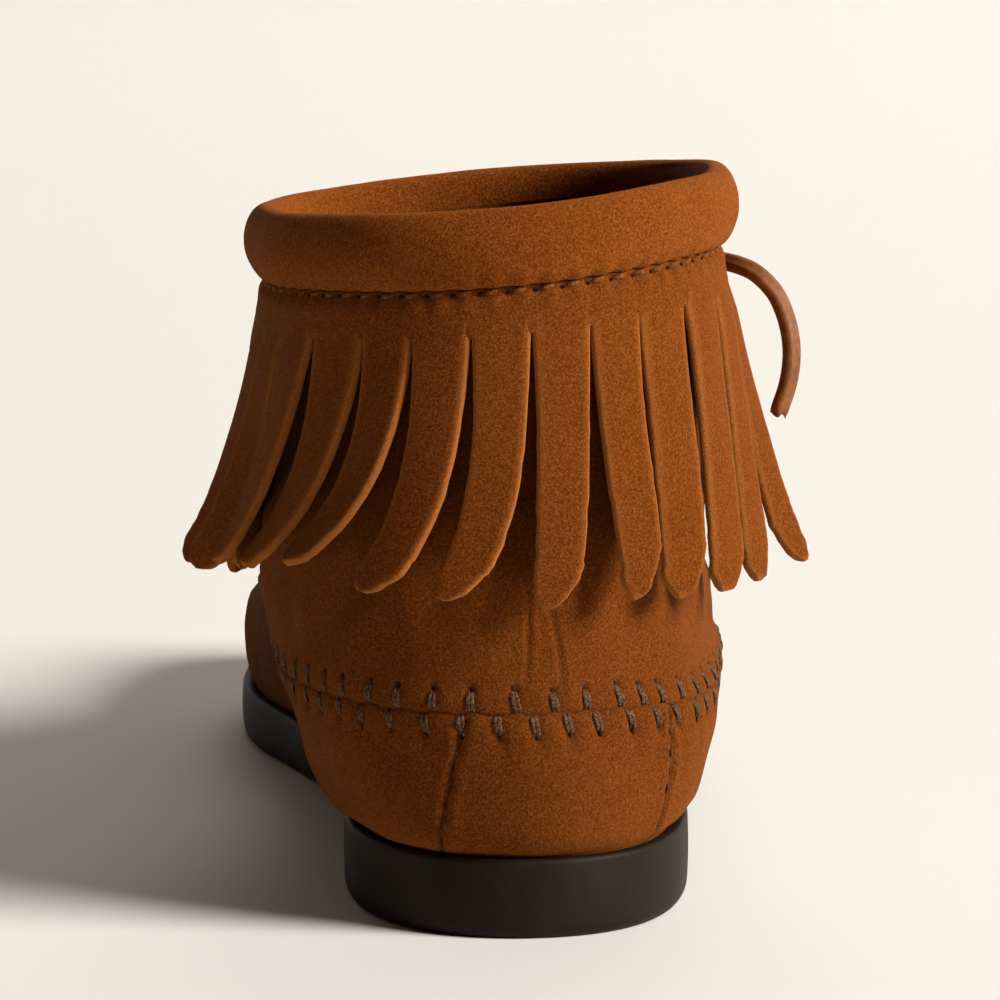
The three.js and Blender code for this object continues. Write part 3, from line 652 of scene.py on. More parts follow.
# The known bars, then the rest at even steps round the seam with a little scatter.
def whipPlaces(across):
    known = roundAt(turnAtX(np.array(across), 0))
    left = known[0] + seamLength - known[-1]
    count = round(left / whip["pitch"])
    rest = known[-1] + left / count * np.arange(1, count)
    rest += np.random.default_rng(len(across)).uniform(-whip["scatter"], whip["scatter"], len(rest))
    return np.concatenate([known, rest])


barsAbove = whipPlaces(whip["above"])
barsBelow = whipPlaces(whip["below"])

# Lines of the heel panel below the seam: x at the seam and x at the rim, from the photo.
heelPanel = {
    "lines": [(-11, -15.3), (24.2, 21.6)], "width": 0.55, "depth": 0.5, "dash": 3.4,
    "puff": 0.22, "puffAt": 1.5, "puffWidth": 1.1, "dark": 0.38,
    "stitch": 2.1, "first": -2.2, "last": -26, "wide": 0.21, "high": 0.17,
    "arch": [-0.3, 0.1, 0.16, 0.16, 0.1, -0.3],
}
heelLines = [(float(turnAtX(top, -0.5)), float(turnAtX(low, -26))) for top, low in heelPanel["lines"]]

# Main creases: turn in degrees from the back (+ outer side), height over the seam, slope of the
# crease in degrees, half length, half width, depth and bend, in millimetres.
creases = [
    (3.6, 15, 88, 9, 0.5, 0.32, 0.5),
    (8.6, 14, 97, 10, 0.55, 0.36, 0.8),
    (-13, 27, 82, 13, 4.5, 0.9, 2),
    (15, 34, 100, 14, 4, 0.7, -2),
    (-33, 20, 60, 16, 4, 0.9, 3),
    (38, 22, 118, 17, 3.6, 1.0, -3),
    (62, 30, 150, 20, 3.4, 1.3, 4),
    (75, 17, 160, 17, 3.2, 1.1, 3),
    (96, 36, 158, 18, 3.5, 1.2, 5),
    (118, 24, 140, 14, 3.0, 0.9, 3),
    (-62, 29, 30, 20, 3.4, 1.3, 4),
    (-76, 16, 22, 17, 3.2, 1.0, 3),
    (-98, 35, 24, 18, 3.5, 1.1, 5),
    (-120, 23, 42, 14, 3.0, 0.9, 3),
]
# Flex creases across the vamp: y, half width, depth, bend and half length.
flexes = [(112, 3.0, 1.1, 9, 30), (126, 2.6, 1.2, 7, 31), (139, 2.2, 0.8, 5, 29), (150, 2.0, 0.5, 4, 24)]


# Fullness of the soft upper beyond the plain skin, in millimetres: over the low heel, and on the
# inner side above the seam, where the photo's outline swells and then draws in to the rim.
fullness = {"heel": 0.5, "round": 0.7, "outer": 2.0, "low": 0.9, "inner": 4.5, "forefoot": 4.2}


# The sum of a rounding over the low heel, a hollow and a low swelling on its outer side, a swelling
# on the inner side above the seam and a hollow over the inner forefoot, each between smooth steps.
def fullAt(turn, h, down):
    along = alongAt(turn)
    aside = np.sin(turn)
    heel = (1 - smoothStep(along, 0.14, 0.38)) * smoothStep(aside, -1, 0)
    outer = smoothStep(aside, 0.2, 0.8) * (1 - smoothStep(along, 0.2, 0.4))
    out = fullness["round"] + fullness["heel"] * heel + 0.5 * outer
    out = out * smoothStep(down, -0.15, 0.7) * smoothStep(down, 1, 0.84)
    out = (out - fullness["outer"] * outer * bell(down - 0.66, 0.24)) * smoothStep(-h, 0, 3)
    out = out + fullness["low"] * outer * bell(h + 3, 7)
    degrees = -np.degrees(turn)
    inner = smoothStep(degrees, 35, 75) * smoothStep(degrees, 135, 95)
    out = out + fullness["inner"] * inner * smoothStep(h, -14, 10) * smoothStep(h, 48, 22)
    forefoot = smoothStep(along, 0.46, 0.6) * smoothStep(along, 0.95, 0.85)
    forefoot = forefoot * smoothStep(-aside, 0.1, 0.45)
    return out - fullness["forefoot"] * forefoot * smoothStep(h, -17, -3) * smoothStep(h, 34, 16)


# The seam's height against the plain ring, in millimetres: a little up at the back and lower along
# both sides, by angle from the back.
seamDip = {"back": 0.6, "side": -6.0, "outerTimes": 1.25, "outer": (10, 78), "inner": (25, 90)}


def dipAt(turn):
    degrees = np.degrees(periodic(turn))
    side = seamDip["outerTimes"] * smoothStep(degrees, *seamDip["outer"])
    side = side + smoothStep(-degrees, *seamDip["inner"])
    front = smoothStep(alongAt(turn), 0.75, 0.4)
    return seamDip["back"] * bell(degrees, 40) + seamDip["side"] * side * front


# Widths and depths of the upper's relief, in millimetres.
relief = {
    "ridge": 2.6, "puff": 0.42, "puffAt": 2.4, "puffWidth": 2.3, "groove": 0.34, "bar": 1.3,
    "hole": 0.5, "holeWidth": 0.8, "holeDark": 0.9, "holeDarkWidth": 0.6,
    "gather": 0.25, "toeGather": 0.95, "gatherWidth": 4.2, "plugGather": 0.35, "level": 0.25,
    "lumps": 0.42, "lumpSize": 31, "smallLumps": 0.16, "smallLumpSize": 12,
    # rimShade and ankleShade are shares of painted shade near the rim and behind the fringe.
    "rimShade": 0.35, "ankleShade": 0.42,
}


# The seam: a ridge with a puff on each side and a wandering groove in its middle, drawn in round
# the stitches, sunk at their holes, and gathered below and above towards the toe.
def seamRelief(u, along, h):
    def fromBars(bars, width):
        gap = (u[:, None] - bars[None] + seamLength / 2) % seamLength - seamLength / 2
        return bell(gap, width).sum(-1)

    above = fromBars(barsAbove, relief["bar"])
    below = fromBars(barsBelow, relief["bar"])
    sharpAbove = fromBars(barsAbove, whip["hole"])
    sharpBelow = fromBars(barsBelow, whip["hole"])
    toe = smoothStep(along, 0.45, 0.8)
    rise = boot["seamRise"] - boot["seamRiseHeel"]
    rise = boot["seamRiseHeel"] + rise * smoothStep(along, 0.3, 0.75)
    line = h - 0.4 * (above - below) - 0.13 * np.sin(u * 1.9) - 0.09 * np.sin(u * 4.3 + 1)
    near, wide = relief["puffAt"], relief["puffWidth"]
    out = rise * bell(h, relief["ridge"]) + relief["puff"] * bell(np.abs(h) - near, wide)
    out -= relief["groove"] * bell(line, whip["groove"])
    out -= whip["pull"] * (above * bell(h - near, wide) + below * bell(h + near, wide))
    up, low = h - whip["length"], h + whip["length"]
    size = relief["holeWidth"]
    out -= relief["hole"] * (sharpAbove * bell(up, size) + sharpBelow * bell(low, size))
    gather = relief["gather"] + relief["toeGather"] * toe
    gather = gather * bell(h + relief["gatherWidth"], relief["gatherWidth"]) * smoothStep(-h, 0, 1.5)
    out -= gather * (below - relief["level"])
    plug = relief["plugGather"] * toe * bell(h - 4, 3.5) * smoothStep(h, 0, 1.5)
    out -= plug * (above - relief["level"])
    size = relief["holeDarkWidth"]
    dark = (0.36 + 0.16 * np.sin(u * 2.7)) * bell(line, 0.2) + 0.1 * bell(line, 0.7)
    dark += relief["holeDark"] * (sharpAbove * bell(up, size) + sharpBelow * bell(low, size))
    return out, dark


# The heel panel: a groove with a puff on each side down each line, darker in dashes.
def panelRelief(turn, h, down, speed):
    out = 0 * h
    dark = 0 * h
    there = smoothStep(-h, 0.2, 1.2)
    dashes = 0.6 + 0.4 * np.sin(2 * math.pi * h / heelPanel["dash"])
    for top, low in heelLines:
        side = (turn - (top + (low - top) * down)) * speed + 0.25 * np.sin(h * 1.1)
        out -= heelPanel["depth"] * bell(side, heelPanel["width"]) * there
        puff = bell(np.abs(side) - heelPanel["puffAt"], heelPanel["puffWidth"])
        out += heelPanel["puff"] * puff * there
        dark += bell(side, heelPanel["dark"]) * there * dashes
    return out, dark


# Each crease: a valley with a soft fold on both sides, bent along its length and fading at its ends;
# narrow creases also get painted shade along their valley.
def creaseRelief(turn, h, speed, point):
    out = 0 * h
    dark = 0 * h
    for degrees, middle, slope, half, width, depth, bend in creases:
        side = periodic(turn - math.radians(degrees)) * speed
        rise = h - middle
        c, s = math.cos(math.radians(slope)), math.sin(math.radians(slope))
        a = (side * c + rise * s) / half
        b = (-side * s + rise * c - bend * a * a) / width
        fade = np.exp(-(a**4))
        out += depth * fade * (0.5 * bell(np.abs(b) - 1.9, 1.0) - bell(b, 1))
        # Painted shade in the valley of the narrow creases.
        if width < 1.5:
            dark += 0.3 * bell(b, 0.6) * fade
    x = point[..., 0] - soleCentre(shareOf(point[..., 1]))
    for y, width, depth, bend, half in flexes:
        a = x / half
        b = (point[..., 1] - y - bend * a * a) / width
        fade = np.exp(-(a**4)) * smoothStep(h, 2, 9)
        out += depth * fade * (0.55 * bell(np.abs(b) - 1.9, 1.0) - bell(b, 1))
    return out, dark


# Points of the suede at a turn and a height over the seam, with the skin's normal and how dark it is
# there: the seam's dark line, holes and panel dashes, plus painted shade in narrow creases, near the rim
# and behind the fringe. The points are the skin plus seam, heel panel, creases, lumps and fullness along
# its normal.
def upperRelief(turn, h):
    level = levelFrom(turn, h)
    point, normal, _, _ = skinFrame(turn, level)
    speed = np.linalg.norm(skin(turn + 0.01, level) - skin(turn - 0.01, level), axis=-1) / 0.02
    lowest = heightsOf(turn)[:, 0]
    down = np.clip(h / lowest, 0, 1)
    fromSeam = h - dipAt(turn)
    seam, dark = seamRelief(roundAt(turn), alongAt(turn), fromSeam)
    panel, panelDark = panelRelief(turn, fromSeam, down, speed)
    folds, creaseShade = creaseRelief(turn, h, speed, point)
    soft = smoothStep(-h / np.abs(lowest), 0.98, 0.8) * smoothStep(level, 8.6, 7.6)
    out = (seam + panel + folds) * soft
    rough = relief["lumps"] * lumps(point, relief["lumpSize"], 3)
    rough += relief["smallLumps"] * lumps(point, relief["smallLumpSize"], 4)
    out += soft * rough * smoothStep(np.abs(h), 0, 5)
    out += fullAt(turn, h, down)
    # Painted shade: darker towards the sole's rim, and darker from 20 mm above the seam upwards, behind the
    # fringe.
    shade = relief["rimShade"] * smoothStep(down, 0.88, 0.98)
    shade = shade + relief["ankleShade"] * smoothStep(h, 20, 42)
    return point + normal * out[..., None], normal, np.clip(dark + panelDark + creaseShade + shade, 0, 1)


# Points a little out from the suede.
def onUpper(turn, h, out):
    point, normal, _ = upperRelief(turn, h)
    return point + normal * np.asarray(out)[..., None]


# The same for arrays of more than one axis, with the plain skin's normal there.
def pathOnUpper(turn, h, out):
    flat, high = turn.ravel(), h.ravel()
    path = onUpper(flat, high, np.broadcast_to(out, h.shape).ravel())
    normal = skinFrame(flat, levelFrom(flat, high))[1]
    return path.reshape(h.shape + (3,)), normal.reshape(h.shape + (3,))


# Upper: a closed shell, up the outer face, over the shaft's edge and down the inner face.
def makeUpper():
    turn = spreadTurns(600, seamLevel, 2.1)
    heights = heightsOf(turn)
    lowest = heights[:, 0]
    highest = heights[:, -1]
    near = np.concatenate([np.arange(0, 1.5, 0.25), np.arange(1.5, 5.5, 0.5), [5.6, 6.6, 8]])
    dip = dipAt(turn)
    below = [lowest + (dip - 8 - lowest) * f for f in np.linspace(0, 1, 17)[:-1]]
    above = [dip + 8 + (highest - dip - 8) * f for f in np.linspace(0, 1, 74)[1:]]
    h = np.stack(below + [dip + v for v in np.concatenate([-near[::-1], near[1:]])] + above)
    outer, _, dark = upperRelief(turn, h)
    levels = np.array([10, 9.25, 8.5, 7.75, 7, 6.25, 5.5, 5, 4.5, 4, 3.5, 3, 2.5, 2, 1, 0])[:, None]
    point, normal, _, _ = skinFrame(turn[None, :], levels + 0 * turn[None, :])
    perLevel = (len(tableLevels) - 1) / topLevel
    up = heights[:, np.rint(levels[:, 0] * perLevel).astype(int)].T
    full = fullAt(turn, up, np.clip(up / lowest, 0, 1))
    inner = point + normal * (full - wall)[..., None]
    shades = np.concatenate([dark, np.zeros(inner.shape[:2])]).ravel()
    piece = addGrid("suedeUpper", np.concatenate([outer, inner]), closedRows=True, values={"groove": shades})
    return dress(piece, suedeSkin, "suede", "upper")


makeUpper()
print("upper made")


# Bars of waxed thread over the seam, two plies each, with a dark hole at the outer end.
def makeWhipStitches():
    random = np.random.default_rng(11)
    step = np.linspace(0, 1, len(whip["arch"]))
    shapes = []
    holes = []
    for bars, way in ((barsAbove, 1), (barsBelow, -1)):
        count = len(bars)
        length = whip["length"] + random.uniform(-whip["barScatter"], whip["barScatter"], count)
        lean = whip["lean"] * random.uniform(0.2, 1.8, count) * -way
        h = way * (whip["start"] + step[None] * length[:, None])
        u = bars[:, None] + lean[:, None] * (step[None] - 0.3)
        size = np.array(whip["taper"])[None] * np.ones((count, 1)) / 2
        for ply in (-1, 1):
            turn = turnAt(u + whip["plyTwist"] * ply * np.cos(step * 0.8)[None])
            path, normal = pathOnUpper(turn, h + dipAt(turn), whip["arch"])
            wide, high = size * whip["width"], size * whip["height"]
            shapes.append(tubeShapes(path, normal, wide, high, whip["sides"]))
        holes.append(np.stack([bars + lean * 0.75, way * (length + 0.25)], -1))
    piece = addTubes("whipStitches", np.concatenate(shapes))
    dress(piece, stitchThread, "thong")
    places = np.concatenate(holes)
    turn = turnAt(places[:, 0])
    makeHoles("whipHoles", turn, places[:, 1] + dipAt(turn), whip["holeWide"], whip["holeTall"])


# Dark lenses lying on the upper: half sizes across and along.
def makeHoles(name, turn, h, wide, tall):
    centre = onUpper(turn, h, np.full(len(turn), 0.02))
    _, normal, up, across = skinFrame(turn, levelFrom(turn, h))
    addLenses(name, centre, normal, up, across, wide, tall, 0.1)


# Flat eight-sided lenses: a ring, a point a little over it and one under it.
def addLenses(name, centre, normal, up, across, wide, tall, high):
    angle = np.linspace(0, 2 * math.pi, 9)[:-1]
    ring = centre[:, None] + np.cos(angle)[None, :, None] * across[:, None] * wide
    ring = ring + np.sin(angle)[None, :, None] * up[:, None] * tall
    points = np.concatenate([ring, (centre + normal * high)[:, None], (centre - normal * 0.4)[:, None]], 1)
    k = np.arange(8)
    top = np.stack([k, (k + 1) % 8, np.full(8, 8)], -1)
    low = np.stack([(k + 1) % 8, k, np.full(8, 9)], -1)
    faces = (np.concatenate([top, low])[None] + 10 * np.arange(len(centre))[:, None, None]).reshape(-1, 3)
    dress(addMesh(name, points.reshape(-1, 3), faces), holeDark, "suede")


makeWhipStitches()


# Fine dark dashes down the two lines of the heel panel.
def makeHeelDashes():
    step = np.linspace(0, 1, len(heelPanel["arch"]))
    shapes = []
    for top, low in heelLines:
        start = np.arange(heelPanel["first"], heelPanel["last"], -heelPanel["dash"])
        h = start[:, None] - heelPanel["stitch"] * step[None]
        lowest = heightsOf(np.full(1, top))[0, 0]
        turn = top + (low - top) * np.clip(h / lowest, 0, 1)
        path, normal = pathOnUpper(turn, h, heelPanel["arch"])
        wide = np.full(h.shape, heelPanel["wide"])
        high = np.full(h.shape, heelPanel["high"])
        shapes.append(tubeShapes(path, normal, wide, high, 6))
    return dress(addTubes("heelStitches", np.concatenate(shapes)), darkThread, "suede")


makeHeelDashes()
print("stitches made")

# Collar roll, and the row of stitches in the valley under it.
collar = {
    "pitch": 5.0, "valleyOut": 0.95, "valleyTall": 3.6, "pull": 0.38, "lipOut": 0.75,
    "middle": 0.47, "arcSteps": 40, "lumps": 0.22, "lumpSize": 26, "smallLumps": 0.08,
    "smallLumpSize": 9, "shade": 0.25, "stitchShare": 0.62, "wide": 0.52, "high": 0.34,
    "arch": [-0.6, 0.0, 0.3, 0.4, 0.38, 0.26, 0.0, -0.5],
    "taper": [0.5, 0.85, 1, 1, 1, 0.95, 0.8, 0.4],
}
ringTurns = np.linspace(-math.pi, math.pi, 721)
collarDrops = -(rollDropAt(ringTurns) + fit)[None]
collarLine = placeOnEdge(ringTurns, np.full(collarDrops.shape, stripOut), collarDrops)[0]
collarLengths = lengthsAlong(collarLine)
collarLengths -= np.interp(0, ringTurns, collarLengths)
collarRound = collarLengths[-1] - collarLengths[0]
collarCount = round(collarRound / collar["pitch"])


# 1 at the stitch holes and 0 between them, as a cosine wave.
def collarPull(turn):
    length = np.interp(turn, ringTurns, collarLengths)
    return 0.5 + 0.5 * np.cos(2 * math.pi * collarCount * length / collarRound)


# Section of the roll: an arc from the lip over the top to the inside, down the inside, and back
# up a slot that holds the shaft's edge.
def makeRoll():
    turn = spreadTurns(620, topLevel, 1.5)
    drop = rollDropAt(turn)[None]
    pull = collarPull(turn)[None]
    inside = -(wall + fit + boot["rollSkin"])
    bulge = stripOut + boot["rollBulge"]
    middle = (bulge + inside) / 2
    half = (bulge - inside) / 2
    middleUp = -drop * collar["middle"]
    lipAngle = -math.acos((collar["lipOut"] - middle) / half)
    angle = np.linspace(lipAngle, math.pi, collar["arcSteps"])[:, None]
    tall = np.where(angle < 0, (-drop - middleUp) / math.sin(lipAngle), boot["rollSkin"] + fit - middleUp)
    out = middle + half * np.cos(angle) + 0 * drop
    up = middleUp + tall * np.sin(angle)
    low = smoothStep(-angle, 0.35, 1.35)
    up = up - low * (0.42 + 0.2 * (1 - pull)) * smoothStep(out, 0.75, 1.5)
    out = out - collar["pull"] * low * pull
    rest = np.array([
        [inside, -3], [inside, -boot["rollInside"] + 0.6], [inside + 0.5, -boot["rollInside"]],
        [-(wall + fit), -boot["rollInside"]], [-(wall + fit), -boot["rollInside"] / 2],
        [-(wall + fit), fit], [fit, fit], [fit, -4],
    ])
    out = np.concatenate([out, rest[:, :1] + 0 * drop, fit + 0 * drop])
    up = np.concatenate([up, rest[:, 1:] + 0 * drop, 0.6 - drop])
    points = placeOnEdge(turn, out, up)
    normal = skinFrame(turn[None], levelBelow(turn, -up))[1]
    outside = (np.arange(len(out)) < 30)[:, None]
    soft = collar["lumps"] * lumps(points, collar["lumpSize"], 7)
    soft = soft + collar["smallLumps"] * lumps(points, collar["smallLumpSize"], 8)
    points = points + normal * (soft * outside)[..., None]
    # Painted shade on the roll's underside, over the stitch valley.
    shade = np.zeros(points.shape[:2])
    shade[:len(angle)] = collar["shade"] * smoothStep(-angle, 1.0, 1.42)
    piece = addGrid("collarRoll", points, closedRows=True, values={"groove": shade.ravel()})
    return dress(piece, suedeRollLit, "suede", "collar_roll")


makeRoll()


# Stitches in the valley: a slanting dash of thread from hole to hole, and a dark hole at its start.
def makeCollarStitches():
    def turnAlong(length):
        length = (length - collarLengths[0]) % collarRound + collarLengths[0]
        return np.interp(length, collarLengths, ringTurns)

    pitch = collarRound / collarCount
    start = pitch * (np.arange(collarCount) - collarCount // 2)
    step = np.linspace(0, 1, len(collar["arch"]))
    turn = turnAlong(start[:, None] + pitch * (0.1 + collar["stitchShare"] * step[None]))
    up = -(rollDropAt(turn) + fit + 0.75) + 0.55 * (step[None] - 0.4)
    flat = turn.ravel()
    point, normal, _, _ = skinFrame(flat, levelBelow(flat, -up.ravel()[None])[0])
    lift = 0.75 + np.broadcast_to(collar["arch"], turn.shape).ravel()
    path = (point + normal * lift[:, None]).reshape(turn.shape + (3,))
    size = np.array(collar["taper"])[None] * np.ones((collarCount, 1))
    wide, high = size * collar["wide"], size * collar["high"]
    shapes = tubeShapes(path, normal.reshape(path.shape), wide, high, 7)
    dress(addTubes("collarStitches", shapes), collarThread, "suede")
    turn = turnAlong(start)
    level = levelBelow(turn, (rollDropAt(turn) + fit + 1.0)[None])[0]
    point, normal, upwards, across = skinFrame(turn, level)
    addLenses("collarHoles", point + normal * 0.96, normal, upwards, across, 0.5, 0.34, 0.1)


makeCollarStitches()
print("collar made")

# Distance of the skin from the shaft's upright axis, for a bearing round it (0 at the back,
# a quarter turn on the outer side) and a height, in a table.
axisY = 20
radiusStep = 2
radiusHeights = np.arange(20, 122.1, radiusStep)
radiusBearings = np.linspace(-math.pi, math.pi, 361)
lowColumn = 40


def radiusRow(z):
    under = (tablePoints[:, lowColumn:, 2] < z).sum(1) + lowColumn - 1
    k = np.clip(under, lowColumn, len(tableLevels) - 2)
    n = np.arange(len(tableTurns))
    a, b = tablePoints[n, k], tablePoints[n, k + 1]
    f = np.clip((z - a[:, 2]) / (b[:, 2] - a[:, 2]), 0, 1)[:, None]
    p = a + f * (b - a)
    x, y = p[:, 0] - boot["shaftLean"], p[:, 1] - axisY
    bearing = np.arctan2(x, -y)[:-1]
    order = np.argsort(bearing)
    far = np.hypot(x, y)[:-1][order]
    return np.interp(radiusBearings, bearing[order], far, period=2 * math.pi)


radiusTable = np.stack([radiusRow(z) for z in radiusHeights])


# The table read between its four nearest values.
def radiusAt(bearing, z):
    i = np.clip((z - radiusHeights[0]) / radiusStep, 0, len(radiusHeights) - 1.001)
    j = (periodic(bearing) + math.pi) / (2 * math.pi) * (len(radiusBearings) - 1)
    a, b = i.astype(int), np.clip(j.astype(int), 0, len(radiusBearings) - 2)
    f, g = i - a, j - b
    low = radiusTable[a, b] * (1 - g) + radiusTable[a, b + 1] * g
    return low * (1 - f) + (radiusTable[a + 1, b] * (1 - g) + radiusTable[a + 1, b + 1] * g) * f


# Point of the skin and its normal for a bearing and a height.
def skinSpot(bearing, z):
    def at(b, height):
        r = radiusAt(b, height)
        return np.stack([boot["shaftLean"] + r * np.sin(b), axisY - r * np.cos(b), height], -1)

    across = at(bearing + 0.04, z) - at(bearing - 0.04, z)
    return at(bearing, z), unit(np.cross(across, at(bearing, z + 2) - at(bearing, z - 2)))


# The slits' line round the shaft: bearing, length along it and height.
slitDrops = -slitDropAt(ringTurns)[None]
slitLine = placeOnEdge(ringTurns, np.full(slitDrops.shape, stripOut), slitDrops)[0]
slitBearings = np.unwrap(np.arctan2(slitLine[:, 0] - boot["shaftLean"], axisY - slitLine[:, 1]))
slitLengths = lengthsAlong(slitLine)


# Values along the slits' line at a bearing, counted on over each lap.
def slitRead(bearing, values):
    whole = 2 * math.pi
    low = slitBearings[0]
    laps = np.floor((bearing - low) / whole)
    gain = values[-1] - values[0]
    return np.interp(bearing - laps * whole, slitBearings, values) + laps * gain


# Strands from the inner side round the back to the outer side: the slits' bearings in degrees,
# the tip's drift round the boot and stand-off as shares of the flare, and a share of the length.
backStrands = [
    (-90, -74, -1.2, 1.75, 1.0), (-74, -60, -1.7, 1.5, 1.03), (-60, -46, -2.2, 1.45, 1.03),
    (-46, -30, -2.4, 1.2, 1.03), (-30, -18.5, -2.0, 1.1, 0.985), (-18.5, -7, -1.25, 0.9, 0.985),
    (-7, 4.2, -0.85, 0.9, 0.985), (4.2, 15.8, -0.45, 0.8, 1.0), (15.8, 27.5, -0.15, 1.0, 1.0),
    (27.5, 43, -0.35, 0.85, 1.03), (43, 60, -0.8, 0.95, 1.06), (60, 76, -0.6, 1.1, 1.055),
    (76, 90, 0.2, 1.75, 1.07),
]
frontStrands = [
    (0.5, 0.8, 0.96), (0.1, 0.5, 0.99), (-0.4, 0.9, 0.94), (0.2, 0.6, 0.98), (-0.1, 0.7, 0.95),
]
fringe = {
    "rows": 34, "thickness": 1.75, "twist": 20, "taper": 0.05, "lowTaper": 0.1, "apex": 0.5,
    "bandProud": 0.07, "flare": 2.3, "flareTall": 15, "overlap": 5.0, "samples": 80, "reach": 1.25,
    "gap": 0.25, "edge": 0.12, "rough": 0.13, "fineRough": 0.1, "sharp": (2.4, 3.6), "blunt": (7, 9.5),
}


# The strands seen in the photo, then equal ones round the front between their outer edges.
def allStrands():
    rows = [(math.radians(a), math.radians(b), *rest) for a, b, *rest in backStrands]
    start, end = rows[-1][1], rows[0][0] + 2 * math.pi
    fine = np.linspace(start, end, 181)
    lengths = slitRead(fine, slitLengths)
    count = round((lengths[-1] - lengths[0]) / boot["strandWidth"])
    edges = np.interp(np.linspace(lengths[0], lengths[-1], count + 1), lengths, fine)
    for k in range(count):
        rows.append((edges[k], edges[k + 1], *frontStrands[k % len(frontStrands)]))
    return rows


# How far band and strands swing out on both sides, for a bearing and a distance under the roll.
def sideFlare(bearing, under):
    side = smoothStep(np.abs(np.sin(bearing)), 0.55, 0.95)
    return fringe["flare"] * side * smoothStep(under, 0, fringe["flareTall"])


# One strand: a strip of rounded rectangular section down the skin, drifting and standing off it
# more and more, twisted to its leaning side, cupped, and cut to an oblique blunt point.
def strandShape(row, random):
    a, b, lean, lift, length = row
    overlap = fringe["overlap"]
    bearing = (a + b) / 2
    width = float(slitRead(b, slitLengths) - slitRead(a, slitLengths)) - fringe["gap"]
    top = float(slitRead(bearing, slitLine[:, 2])) + overlap
    total = length * boot["fringeLength"] - boot["slitStart"] + overlap
    share = np.linspace(0, fringe["reach"], fringe["samples"])
    z = top - share * total
    wave = random.uniform(-1, 1, 3)
    for _ in range(4):
        free = np.clip((share * total - overlap) / (total - overlap), 0, 1.2)
        drift = lean * boot["strandFlare"] * free**2.5
        drift = drift + 0.7 * wave[0] * np.sin(free * 5 + wave[1]) * free
        spot, out = skinSpot(bearing + drift / radiusAt(np.full(len(z), bearing), z), z)
        off = stripOut - fringe["thickness"] / 2 - fringe["bandProud"]
        off = off + sideFlare(bearing, boot["slitStart"] + share * total - overlap)
        off = off + lift * boot["strandFlare"] * free**1.25
        off = off + 0.5 * wave[2] * np.sin(free * 4.2) * free
        path = spot + out * off[:, None]
        share = lengthsAlong(path) / total
    s = np.concatenate([np.linspace(0, 0.8, 20)[:-1], np.linspace(0.8, 1, fringe["rows"] - 19)])
    path = np.stack([np.interp(s, share, path[:, k]) for k in range(3)], -1)
    out = unit(np.stack([np.interp(s, share, out[:, k]) for k in range(3)], -1))
    along = unit(np.gradient(path, axis=0))
    flat = unit(np.cross(out, along))
    out = unit(np.cross(along, flat))
    free = np.clip((s * total - overlap) / (total - overlap), 0, 1)
    turned = math.radians(fringe["twist"]) * -lean * free**1.4
    turned = turned * (1 - 1.9 * smoothStep(-bearing, 0.75, 1.2))
    turned = turned + 0.12 * wave[1] * free + 0.6 * smoothStep(bearing, 1.05, 1.4) * free
    c, d = np.cos(turned)[:, None], np.sin(turned)[:, None]
    out, flat = out * c - flat * d, flat * c + out * d
    narrow = fringe["taper"] * smoothStep(free, 0, 0.5) + fringe["lowTaper"] * smoothStep(free, 0.5, 0.95)
    half = width / 2 * (1 - narrow)
    half = half - 0.12 * smoothStep(free, 0, 0.05) - 0.22 * smoothStep(free, 0.02, 0.3)
    way = -1 if lean <= 0 else 1
    apex = way * fringe["apex"] * random.uniform(0.7, 1.2)
    sharp = 0.1 + 0.9 * np.clip((1 - s) * total / random.uniform(*fringe["sharp"]), 0, 1)
    blunt = np.clip((1 - s) * total / random.uniform(*fringe["blunt"]), 0, 1)
    blunt = 0.12 + 0.88 * (0.45 * blunt + 0.55 * np.sqrt(1 - (1 - blunt) ** 2))
    left, right = (sharp, blunt) if way < 0 else (blunt, sharp)
    rough = fringe["rough"] * np.sin(s * 61 + wave[0] * 9)
    rough = rough + fringe["fineRough"] * np.sin(s * 113 + wave[1] * 9)
    low = half * (apex + (-1 - apex) * left) + rough * free
    high = half * (apex + (1 - apex) * right) + np.roll(rough, 5) * free
    e = fringe["edge"]
    topSide = [(x, 1) for x in np.linspace(-1 + e, 1 - e, 9)]
    edge = [(1 - 0.3 * e, 0.74), (1, 0.3), (1, -0.3), (1 - 0.3 * e, -0.74)]
    section = topSide + edge + [(-x, -1) for x, _ in topSide[::2]] + [(-x, -y) for x, y in edge]
    section = np.array(section)[::-1]
    place = low[:, None] + (high - low)[:, None] * (section[None, :, 0] + 1) / 2
    thick = fringe["thickness"] / 2 * (1 - 0.45 * bell(1 - s, 0.008))
    thick = np.where(s < 0.02, 0.5, thick)
    curve = 1 / 46 * (1 - free) + (0.012 + 0.02 * wave[2]) * free
    cup = -(place**2) * curve[:, None] / 2
    height = thick[:, None] * section[None, :, 1] + cup
    points = path[:, None] + place[..., None] * flat[:, None] + height[..., None] * out[:, None]
    onEdge = smoothStep(np.abs(section[:, 0]), 1 - 1.6 * e, 1 - 0.2 * e)[None] + 0 * s[:, None]
    onEdge = np.maximum(onEdge, bell(1 - s, 0.012)[:, None])
    return points, np.clip(onEdge, 0, 1)


